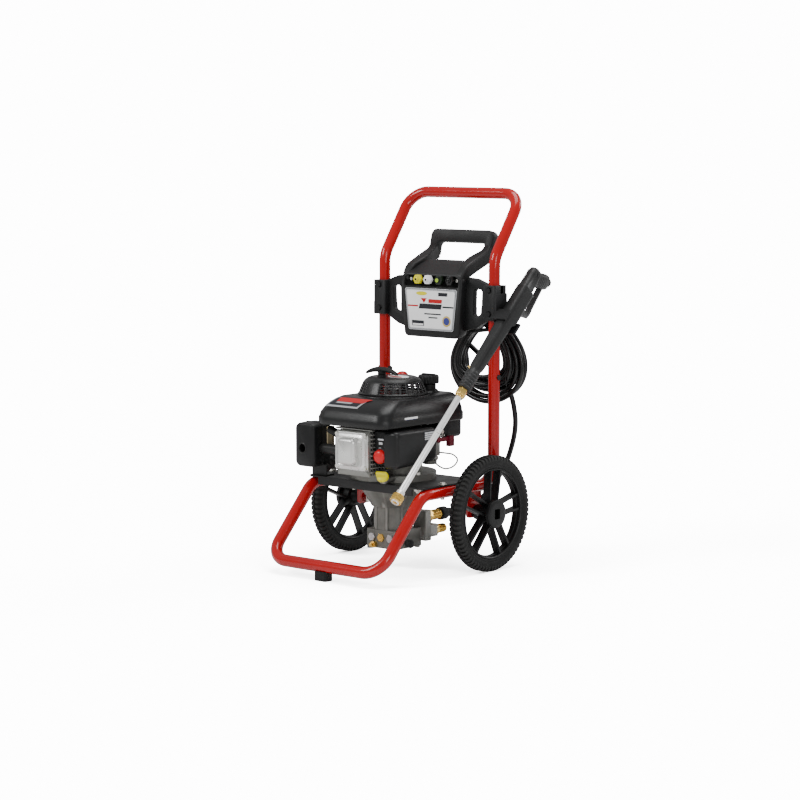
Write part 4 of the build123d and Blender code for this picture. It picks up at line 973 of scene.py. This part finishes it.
for colour, material in (("yellow", YELLOW), ("white", WHITE), ("green", GREEN), ("black", GLOSS_BLACK)):
    x = NOZZLES[colour]
    tip = prism("collar", rounded_outline([(x + 11 * math.cos(math.radians(60 * k)), NOZZLE_Z
                                            + 11 * math.sin(math.radians(60 * k))) for k in range(6)], 1.6,
                                          3), 10.6, lambda u, z, h: at(u, PANEL_Y - 0.3 - h, z))
    rounded(tip, 1.0, 3)
    bake(tip)
    nose = lathe("nose", at(x, PANEL_Y - 10.6, NOZZLE_Z), (0, -1, 0), [(1, -2), (5.6, -2), (5.2, 2.4),
            (4.5, 4), (3.2, 4.4), (2.2, 4.2), (1.4, 1.2), (0.4, 1.0)], 28)
    shank = lathe("shank", at(x, PANEL_Y + 20, NOZZLE_Z), (0, -1, 0), [(3, 0), (5.2, 0), (5.9, 1),
            (5.9, 21), (3, 21)], 28)
    whole = join(f"nozzle_{colour}_shape", [tip, nose, shank])
    smooth(whole, 40)
    install(whole, material, f"nozzle_{colour}", f"nozzle_{colour}")
    eye = lathe(f"nozzle_{colour}_eye", at(x, PANEL_Y - 14.9, NOZZLE_Z), (0, -1, 0),
                [(0.3, -2), (2.6, -2), (2.6, 0.1), (0.3, 0.1)], 20)
    install(eye, LIME if colour == "green" else GLOSS_BLACK, f"nozzle_{colour}",
            slot=SLOTS[f"nozzle_{colour}"])
    if colour == "green":
        dial = lathe("nozzle_green_dial", at(x, PANEL_Y - 14.6, NOZZLE_Z), (0, -1, 0),
                     [(2.7, -1), (4.4, -1), (4.3, 0.5), (2.7, 0.5)], 24, closed=True)
        install(dial, LIME, "nozzle_green", slot=SLOTS["nozzle_green"])

# ------------------------------------------------------------------ engine
softened("crankcase", CAST_GREY, 1.2, 2)
softened("spark_plug", SOFT_RUBBER, 0.8)
softened("heat_shield", CREAM, 0.5)


def xz_plate(name, corners, radii, y, thick, edge=0.0):
    """A plate across the machine whose front face is at y - thick."""
    piece = prism(name, corner_outline(corners, radii), thick, lambda x, z, h: at(x, y - h, z))
    if edge:
        rounded(piece, edge, 3)
        bake(piece)
    return piece


def rectangle(low, high):
    return [(low[0], low[1]), (high[0], low[1]), (high[0], high[1]), (low[0], high[1])]


def valve_cover():
    base = xz_plate("base", rectangle((-46, 228), (46, 310)), [9] * 4, -222, 4.5, 1.2)
    for x, z in ((-40, 234), (40, 234), (-40, 304), (40, 304)):
        carve(base, lathe("hole", at(x, -216, z), (0, -1, 0), [(3.4, 0), (3.4, 14)], 20))
    rim_outline = [corner_outline(rectangle((-42 + s, 232 + s), (42 - s, 306 - s)), [14 - s] * 4)
                   for s in (0, 5, 7)]
    ledge = skin("ledge", [[at(x, -226, z) for x, z in rim_outline[0]], [at(x, -231, z) for x,
            z in rim_outline[0]], [at(x, -233.5, z) for x, z in rim_outline[1]],
                           [at(x, -231.5, z) for x, z in rim_outline[2]]])
    bump_rings = []
    for y, s in ((-228, 0), (-238, 0.6), (-242, 1.6), (-245, 4), (-246.4, 7.5)):
        outline = corner_outline(rectangle((-27 + s, 239 + s), (23 - s, 299 - s)), [12 - s] * 4)
        bump_rings.append([at(x, y, z) for x, z in outline])
    bump = skin("bump", bump_rings)
    whole = join("valve_cover_cast", [base, ledge, bump])
    smooth(whole, 40)
    install(whole, SILVER_PAINT, "chassis", "valve_cover")


valve_cover()


def cylinder_head():
    softened("cylinder_head", CAST_GREY, 1.0)
    for z in range(224, 316, 9):
        fin = xz_plate("fin", rectangle((-52, z), (52, z + 2.6)), [1.0] * 4, -166, 52)
        smooth(fin)
        install(fin, CAST_GREY, "chassis", slot=SLOTS["cylinder_head"])


cylinder_head()


def muffler():
    shell_rings = []
    for y, s in ((-163.5, 3), (-166, 0.6), (-180, 0), (-205, 0), (-216, 0.4), (-219, 1.8), (-220.4, 4.5)):
        outline = corner_outline(rectangle((-170.5 + s, 221.5 + s), (-114.5 - s, 317.5 - s)), [13 - s] * 4)
        shell_rings.append([at(x, y, z) for x, z in outline])
    shell = skin("shell", shell_rings)
    carve(shell, lathe("outlet", at(-149, -226, 262), (0, 1, 0), [(9.5, 0), (9.5, 34)], 36))
    smooth(shell, 45)
    seam = skin("seam", [[at(x, y, z) for x, z in corner_outline(rectangle((-171.6, 220.4), (-113.4, 318.6)),
                                                                 [14] * 4)] for y in (-193, -190.5)])
    lip = lathe("lip", at(-149, -220.2, 262), (0, -1, 0), [(9.4, -2), (12.2, -2), (12.2, 0.6), (11, 1.3),
            (9.4, 1)], 36, closed=True)
    pipe_piece = lathe("pipe", at(-115, -192, 262), (1, 0, 0), [(3, 0), (11, 0), (11, 69), (3, 69)], 32)
    flange = prism("flange", corner_outline(rectangle((-212, 246), (-172, 278)), [10] * 4), 6,
                   lambda y, z, h: at(-52 + h, y, z))
    whole = join("muffler_pressed", [shell, seam, lip, pipe_piece, flange])
    smooth(whole, 40)
    install(whole, BLACK_PAINT, "chassis", "muffler")


muffler()


def air_filter():
    softened("air_filter_base", BLACK_PLASTIC, 1.2)
    rings = []
    for x, s in ((84, 0), (86, 0), (106, 0.3), (112, 1.2), (115.6, 3), (117.6, 6), (118.2, 10)):
        outline = corner_outline([(-215 + s, 236 + s), (-76 - s, 243 + s), (-76 - s, 317 - s),
                                  (-215 + s, 317 - s)], [9, 12, 12, 9])
        rings.append([at(x, y, z) for y, z in outline])
    cover = skin("air_filter_cover_moulded", rings)
    smooth(cover, 45)
    install(cover, COWL_PLASTIC, "chassis", "air_filter_cover")
    sticker = prism("filter_sticker", rounded_outline([(-124, 288), (-84, 288), (-84, 311), (-124, 311)],
                                                      1.5), 0.4, lambda y, z, h: at(118.3 + h, y, z))
    printed(sticker, FILM_DARK)
    for row in range(4):
        line = prism(f"filter_sticker_line_{row}", rectangle((-122, 305.5 - 4.4 * row),
                (-87, 308.5 - 4.4 * row)), 0.3, lambda y, z, h: at(118.6 + h, y, z))
        printed(line, FILM_SILVER)
    badge = prism("cowl_sticker", rounded_outline([(-169, 329), (-126, 329), (-126, 343), (-169, 343)],
                                                  1.2), 0.4, lambda y, z,
                  h: at(101.8 + h + 0.10 * max(0, 336 - z), y, z))
    printed(badge, WHITE)
    for row in range(2):
        line = prism(f"cowl_sticker_line_{row}", rectangle((-166, 332 + 5 * row), (-130, 333.6 + 5 * row)),
                     0.3, lambda y, z, h: at(102.6 + h, y, z))
        printed(line, FILM_BLUE)
    for row, (x, z, wide, tall) in enumerate(((68, 296, 16, 3.4), (68, 287, 10, 5), (66, 277, 7, 3),
                                              (50.6, 268, 3, 3), (50.6, 256, 3, 2))):
        icon = xz_plate(f"control_icon_{row}", rectangle((x - wide / 2, z), (x + wide / 2, z + tall)),
                        [0.8] * 4, -208.2, 0.4)
        printed(icon, FILM_SILVER)


air_filter()

bulb = lathe("primer_bulb_moulded", at(68, -204, 261), (0, -1, 0),
             [(2, 0), (15.5, 0), (15.5, 8), (14.9, 10.4), (13.2, 13), (10, 15.1), (6, 16.1), (2, 16.4)], 48)
smooth(bulb, 60)
install(bulb, BULB_RUBBER, "primer_bulb", "primer_bulb")
collar_ring = lathe("primer_collar", at(68, -208, 261), (0, -1, 0), [(15.9, -3), (18.6, -3), (18.2, 1.6),
        (17, 2.2), (15.9, 1.8)], 48, closed=True)
smooth(collar_ring)
install(collar_ring, BLACK_PLASTIC, "chassis", slot=SLOTS["air_filter_base"])

OIL_AXIS = Vector((0.2, -0.6, 0.77)).normalized()
OIL_ACROSS = (Vector((1, 0, 0.35)) - OIL_AXIS * OIL_AXIS.dot(Vector((1, 0, 0.35)))).normalized()
OIL_UP = OIL_AXIS.cross(OIL_ACROSS)
oil_origin = at(66, -198, 213)
disc = lathe("disc", oil_origin, OIL_AXIS, [(2, 0.3), (12.4, 0.3), (13, 1.2), (13, 6.6), (12, 8), (2, 8)],
             40)
blade = prism("blade", corner_outline(rectangle((-15, -4), (15, 4)), [3.9] * 4), 11,
              lambda u, v, h: oil_origin + (OIL_ACROSS * u * (1 - 0.012 * h) + OIL_UP * v * (1 - 0.03 * h)
                                            + OIL_AXIS * (8 + h - 0.0035 * u * u)) / 1000)
rounded(blade, 0.9, 3)
bake(blade)
oil_piece = join("oil_cap_moulded", [disc, blade])
smooth(oil_piece, 40)
install(oil_piece, YELLOW, "oil_cap", "oil_cap")

softened("carburettor", CAST_GREY, 0.7)
softened("choke_lever", DARK_RED, 1.6, 3)
for row, (y, z, reach, radius) in enumerate(((-70, 300, 16, 2.2), (-52, 306, 20, 1.8), (-34, 300, 10, 2.4),
                                             (-60, 246, 14, 3.2))):
    stud = lathe(f"linkage_stud_{row}", at(86, y, z), (1, 0, 0), [(0.6, 0), (radius, 0),
            (radius, reach - 3), (radius * 1.7, reach - 3), (radius * 1.7, reach), (0.6, reach)], 16)
    smooth(stud)
    install(stud, ZINC, "chassis", slot=SLOTS["carburettor"])
for row, points in enumerate((((90, -74, 300), (97, -66, 296), (98, -50, 298), (96, -36, 301)),
                              ((92, -56, 306), (99, -50, 300), (98, -44, 286), (95, -48, 272)))):
    link = pipe(f"linkage_wire_{row}", points, 1.1)
    install(link, ZINC, "chassis", slot=SLOTS["carburettor"])
spring_points = [(97 + 2.6 * math.cos(0.9 * k), -64 + 0.55 * k, 292 + 2.6 * math.sin(0.9 * k))
                 for k in range(60)]
install(pipe("governor_spring", spring_points, 0.45), ZINC, "chassis", slot=SLOTS["carburettor"])

# ------------------------------------------------------------------ pump
softened("pump_flange", CAST_GREY, 1.2)
softened("pump_body", CAST_GREY, 1.0)
softened("wobble_plate", STEEL, 0.5)
softened("pump_head", CAST_GREY, 1.6, 3)
softened("relief_valve", BRASS, 0.5)


def pump_ribs():
    """Cast webs between the pump's flange and body, and the bosses of its head bolts."""
    parts = []
    for step in range(8):
        turn = math.radians(22.5 + 45 * step)
        along = Vector((math.cos(turn), math.sin(turn), 0))
        across = Vector((-math.sin(turn), math.cos(turn), 0)) * 0.0022
        centre = at(0, CRANK_Y, 0)
        profile = [(38, 136), (47, 136), (57, 153), (76, 182), (38, 182)]
        vertices = [centre + along * r / 1000 + Vector((0, 0, z / 1000)) - across for r, z in profile]
        vertices += [centre + along * r / 1000 + Vector((0, 0, z / 1000)) + across for r, z in profile]
        count = len(profile)
        faces = [tuple(range(count)), tuple(range(count, 2 * count))]
        faces += [(k, (k + 1) % count, count + (k + 1) % count, count + k) for k in range(count)]
        parts.append(new_object("web", vertices, faces))
    for x in (-36, 38):
        for y in (-125, -51):
            parts.append(lathe("boss", at(x, y, 41.5), (0, 0, 1), [(2, 0), (5.6, 0), (6, 1), (6, 5),
                    (2, 5)], 6))
    ribs = join("pump_webs", parts)
    rounded(ribs, 0.6)
    install(ribs, CAST_GREY, "chassis", slot=SLOTS["pump_flange"])
    for row, (x, z) in enumerate(((-24, 68), (2, 68), (28, 68))):
        plug = lathe(f"valve_plug_{row}", at(x, -131, z), (0, -1, 0), [(1, -1), (9.5, -1), (9.5, 3),
                (8.6, 4), (1, 4)], 6)
        rounded(plug, 0.6)
        install(plug, STEEL if row != 1 else BRASS, "chassis", slot=SLOTS["pump_head"])


pump_ribs()

outlet_nut = lathe("nut", at(40, -28, 107), (0, 1, 0), [(5, 0), (14.6, 0), (15, 1), (15, 13), (14, 14),
                                                        (5, 14)], 6)
outlet_neck = lathe("neck", at(40, -28, 107), (0, 1, 0), [(5, 12), (12.2, 12), (12.2, 18), (10.2, 19.5),
        (10.2, 24)] + [(10.9 - 0.8 * (k % 2), 25 + 1.25 * k) for k in range(19)] + [(10, 49.6), (5, 49.6)],
                    40)
outlet = join("pump_outlet_turned", [outlet_nut, outlet_neck])
rounded(outlet, 0.4, 2, 40)
install(outlet, BRASS, "chassis", "pump_outlet")

inlet = lathe("water_inlet_turned", at(40, 0, 74), (0, 1, 0), [(5, 0.2), (11.6, 0.2), (12.5, 1),
        (12.5, 8.6), (11.8, 10), (9.5, 10)] + [(9.5 - 0.75 * (k % 2), 11 + 1.3 * k) for k in range(20)]
              + [(8.8, 37.4), (6, 38), (6, 6), (5, 6)], 40)
smooth(inlet, 30)
install(inlet, BRASS, "chassis", "water_inlet")

knob = ribbed_cap("unloader_knob_moulded", at(54.3, -105, 58), (1, 0, 0),
                  [(2, 0, 0), (8.4, 0, 0), (9, 0.8, 1), (9, 11.6, 1), (8, 13.2, 1), (6.6, 13.7, 0),
                   (2, 13.7, 0)], 16, 0.9, 128)
rounded(knob, 0.3, 2, 40)
install(knob, BLACK_PLASTIC, "unloader_knob", "unloader_knob")

# ------------------------------------------------------------------ hose fittings and hook
swivel = ribbed_cap("grip", at(40, 22, 107), (0, 1, 0), [(11, 0.2, 0), (13.4, 0.2, 0), (14, 1.2, 1),
        (14, 17.6, 1), (13, 19.6, 0), (10.6, 20.2, 0), (10.4, 24, 0), (9.8, 24.6, 0), (9.8, 26, 0),
        (10, 26.6, 0), (9.4, 30, 0), (8.8, 30.6, 0), (8.8, 32, 0), (9, 32.6, 0), (8.2, 37.4, 0),
        (7.4, 38.6, 0), (6.6, 39.8, 0), (5.6, 40, 0)], 22, 0.9, 176)
smooth(swivel, 40)
install(swivel, SOFT_RUBBER, "chassis", "hose_swivel")
end_fitting = lathe("hose_end_fitting_turned", at(2, 166, 424), (0, 0, -1),
                    [(5.3, 0), (6.6, 0), (7.5, 1), (7.5, 6), (6.8, 7), (6.8, 8), (7.5, 9), (7.5, 20),
                     (9, 22), (11.8, 22.3), (12.5, 23.4), (12.5, 40.6), (11.8, 42), (10.9, 42), (10.9, 31),
                     (5.3, 31)], 40)
smooth(end_fitting, 40)
install(end_fitting, BRASS, "chassis", "hose_end_fitting")
softened("hose_hook", BLACK_PLASTIC, 1.4, 3)

# ------------------------------------------------------------------ gun, lance and holder
GUN_O = at(195, -86.5, 403.2)
GUN_A = Vector((0, 0.719, 0.695)).normalized()
GUN_D = Vector((0, 0.695, -0.719)).normalized()
ACROSS = Vector((1, 0, 0))
TILT = math.radians(20)
PISTOL_O = GUN_O + GUN_A * 0.327
PISTOL_N = GUN_D * math.cos(TILT) - ACROSS * math.sin(TILT)
PISTOL_Y = PISTOL_N.cross(GUN_A)
SLANT = math.radians(35)
HANDLE_N = PISTOL_N * math.cos(SLANT) + GUN_A * math.sin(SLANT)
HANDLE_X = GUN_A * math.cos(SLANT) - PISTOL_N * math.sin(SLANT)


def gun_point(distance, x, y):
    return GUN_O + GUN_A * distance / 1000 + (ACROSS * x + GUN_D * y) / 1000


def gun_ring(distance, width, depth, shift, corner):
    outline = rounded_outline(rectangle((-width / 2, shift - depth / 2), (width / 2, shift + depth / 2)),
                              corner, 6)
    return [gun_point(distance, x, y) for x, y in outline]


def pistol_ring(reach, middle, width, depth, corner):
    """A section across the pistol grip: middle and width along the gun, depth across it."""
    outline = rounded_outline(rectangle((middle - width / 2, -depth / 2), (middle + width / 2, depth / 2)),
                              corner, 6)
    return [PISTOL_O + PISTOL_N * reach / 1000 + (GUN_A * u + PISTOL_Y * v) / 1000 for u, v in outline]


def handle_ring(reach, middle, width, depth, corner):
    """A section across the slanted grip."""
    outline = rounded_outline(rectangle((middle - width / 2, -depth / 2), (middle + width / 2, depth / 2)),
                              corner, 6)
    return [PISTOL_O + HANDLE_N * reach / 1000 + (HANDLE_X * u + PISTOL_Y * v) / 1000 for u, v in outline]


def gun():
    barrel = skin("barrel", [gun_ring(*row) for row in [(2, 23, 23, 0, 11), (3.5, 26, 26, 0, 12.4),
                                                        (44, 28.4, 28.4, 0, 12.6),
                                                        (47, 27.6, 27.6, 0, 12.4), (50, 25, 25, 0, 11.8),
                                                        (58, 24.4, 24.6, 0, 11), (64, 26.4, 26.6, 0.2, 9.5),
                                                        (196, 30, 33, 2, 9), (199, 31, 34, 2.2, 9),
                                                        (203, 31.4, 40, 4.6, 9.5), (207, 32, 41, 5, 10),
                                                        (292, 32, 41, 5, 11), (296, 31.6, 40, 4.4, 11),
                                                        (298, 28.6, 34, 2.6, 11), (330, 28, 33, 2.4, 12),
                                                        (344, 27.6, 32.4, 2.4, 12.6),
                                                        (350, 25, 29, 2.4, 12), (352.4, 19, 22, 2.4, 9)]])
    grip = skin("grip", [handle_ring(*row) for row in [(2, 0, 44, 29, 11), (12, 0, 36, 27.6, 12),
                                                       (34, 0, 34, 27.4, 12.4), (60, 0, 34.6, 28.6, 12.8),
                                                       (76, 0, 36, 30, 13), (80.5, 0, 35, 29, 12.6),
                                                       (82, 0, 32, 26, 12)]])
    parts = [barrel, grip]
    guard = [(38, 62, 13), (20, 67, 12.4), (0, 70.5, 12), (-22, 74, 12), (-40, 76.4, 12), (-50, 73, 12.4),
             (-56, 62, 12.8), (-62, 46, 13), (-68, 28, 13.4), (-72, 14, 14)]
    rings = []
    for index, (along, away, wide) in enumerate(guard):
        before = guard[max(index - 1, 0)]
        after = guard[min(index + 1, len(guard) - 1)]
        run = Vector((after[0] - before[0], after[1] - before[1])).normalized()
        normal = Vector((-run.y, run.x)) * 5.4
        centre = Vector((along, away))
        ring = []
        for side_u, side_v in rounded_outline(rectangle((-1, -wide / 2), (1, wide / 2)), 0.99, 3):
            spot = centre + normal * side_u
            ring.append(PISTOL_O + PISTOL_N * spot.y / 1000 + GUN_A * spot.x / 1000
                        + PISTOL_Y * side_v / 1000)
        rings.append(ring)
    parts.append(skin("guard", rings))
    for reach in (20, 30, 40, 50, 60, 70):
        parts.append(skin("grip_rib", [handle_ring(reach - 2, 0, 33, 27, 12),
                                       handle_ring(reach, 0, 35.8, 29.6, 13),
                                       handle_ring(reach + 2, 0, 33.2, 27.2, 12)]))
    for distance in (6, 14, 22, 30, 38):
        parts.append(skin("nut_rib", [gun_ring(distance - 2.6, 27.2, 27.2, 0, 12.4),
                                      gun_ring(distance, 30, 30, 0, 13.6),
                                      gun_ring(distance + 2.6, 27.2, 27.2, 0, 12.4)]))
    whole = join("gun_body_moulded", parts)
    smooth(whole, 42)
    install(whole, GUN_PLASTIC, "gun", "gun_body")
    blade_rings = [pistol_ring(*row) for row in
                   [(13.5, -26, 12, 8.4, 3.4), (26, -20.4, 10.6, 8.4, 3.4), (42, -13.4, 9.4, 8.4, 3.4),
                    (55, -7.4, 8.4, 8.4, 3.4), (58, -6, 6, 6, 2.6)]]
    trigger = skin("gun_trigger_moulded", blade_rings)
    smooth(trigger, 45)
    install(trigger, GLOSS_BLACK, "gun_trigger", "gun_trigger")


gun()

tube = lathe("tube", gun_point(-288, 0, 0), GUN_A, [(4.9, 0), (6.4, 0), (6.85, 0.8), (6.85, 312),
                                                    (4.9, 312)], 32, closed=True)
socket = lathe("socket", gun_point(-312, 0, 0), GUN_A, [(6.0, 0), (8.4, 0), (9, 0.8), (9, 29), (8.4, 30),
                                                        (6.85, 30), (6.85, 24), (6.0, 21)], 36, closed=True)
lance = join("lance_tube_drawn", [tube, socket])
smooth(lance, 40)
install(lance, STAINLESS, "gun", "lance_tube")
collar = ribbed_cap("coupler_collar_turned", gun_point(-310, 0, 0), GUN_A,
                    [(9.1, 0, 0), (12, 0, 0), (13, 1, 0), (13, 3.4, 0), (12, 4, 0), (12, 6, 0),
                     (12.8, 6.6, 1), (12.8, 15.6, 1), (12, 16.2, 0), (12, 17, 0), (11.4, 18, 0),
                     (9.1, 18, 0)], 30, 0.5, 180)
smooth(collar, 35)
install(collar, BRASS, "coupler_collar", "coupler_collar")
nut = lathe("nut", gun_point(-16, 0, 0), GUN_A, [(6.85, 0), (10.8, 0), (11.5, 1), (11.5, 16.6), (10.8, 18),
                                                 (6.85, 18)], 6)
rings = lathe("ring", gun_point(-16, 0, 0), GUN_A, [(6.85, -5), (8.6, -5), (9.2, -4), (9.2, 0.5),
                                                    (6.85, 0.5)], 32, closed=True)
gun_nut = join("gun_collar_turned", [nut, rings])
rounded(gun_nut, 0.5, 2, 40)
install(gun_nut, BRASS, "gun", "gun_collar")
inlet_hex = lathe("hex", PISTOL_O + HANDLE_N * 0.082, HANDLE_N, [(4.5, 0), (11.4, 0), (12, 0.8), (12, 5.2),
        (11.4, 6), (4.5, 6)], 6)
inlet_thread = lathe("thread", PISTOL_O + HANDLE_N * 0.088, HANDLE_N,
                     [(4.5, 0), (9.8, 0)] + [(10.9 - 0.8 * (k % 2), 1.5 + 1.2 * k) for k in range(11)]
                     + [(9.6, 15.4), (9, 16), (4.5, 16)], 40, closed=True)
gun_inlet = join("gun_inlet_turned", [inlet_hex, inlet_thread])
smooth(gun_inlet, 30)
install(gun_inlet, GUN_PLASTIC, "gun", "gun_inlet")
softened("gun_holder", BLACK_PLASTIC, 1.2, 3)

for node in NODES:
    if not NODES[node].data.materials:
        paint(node, BLACK_PLASTIC)
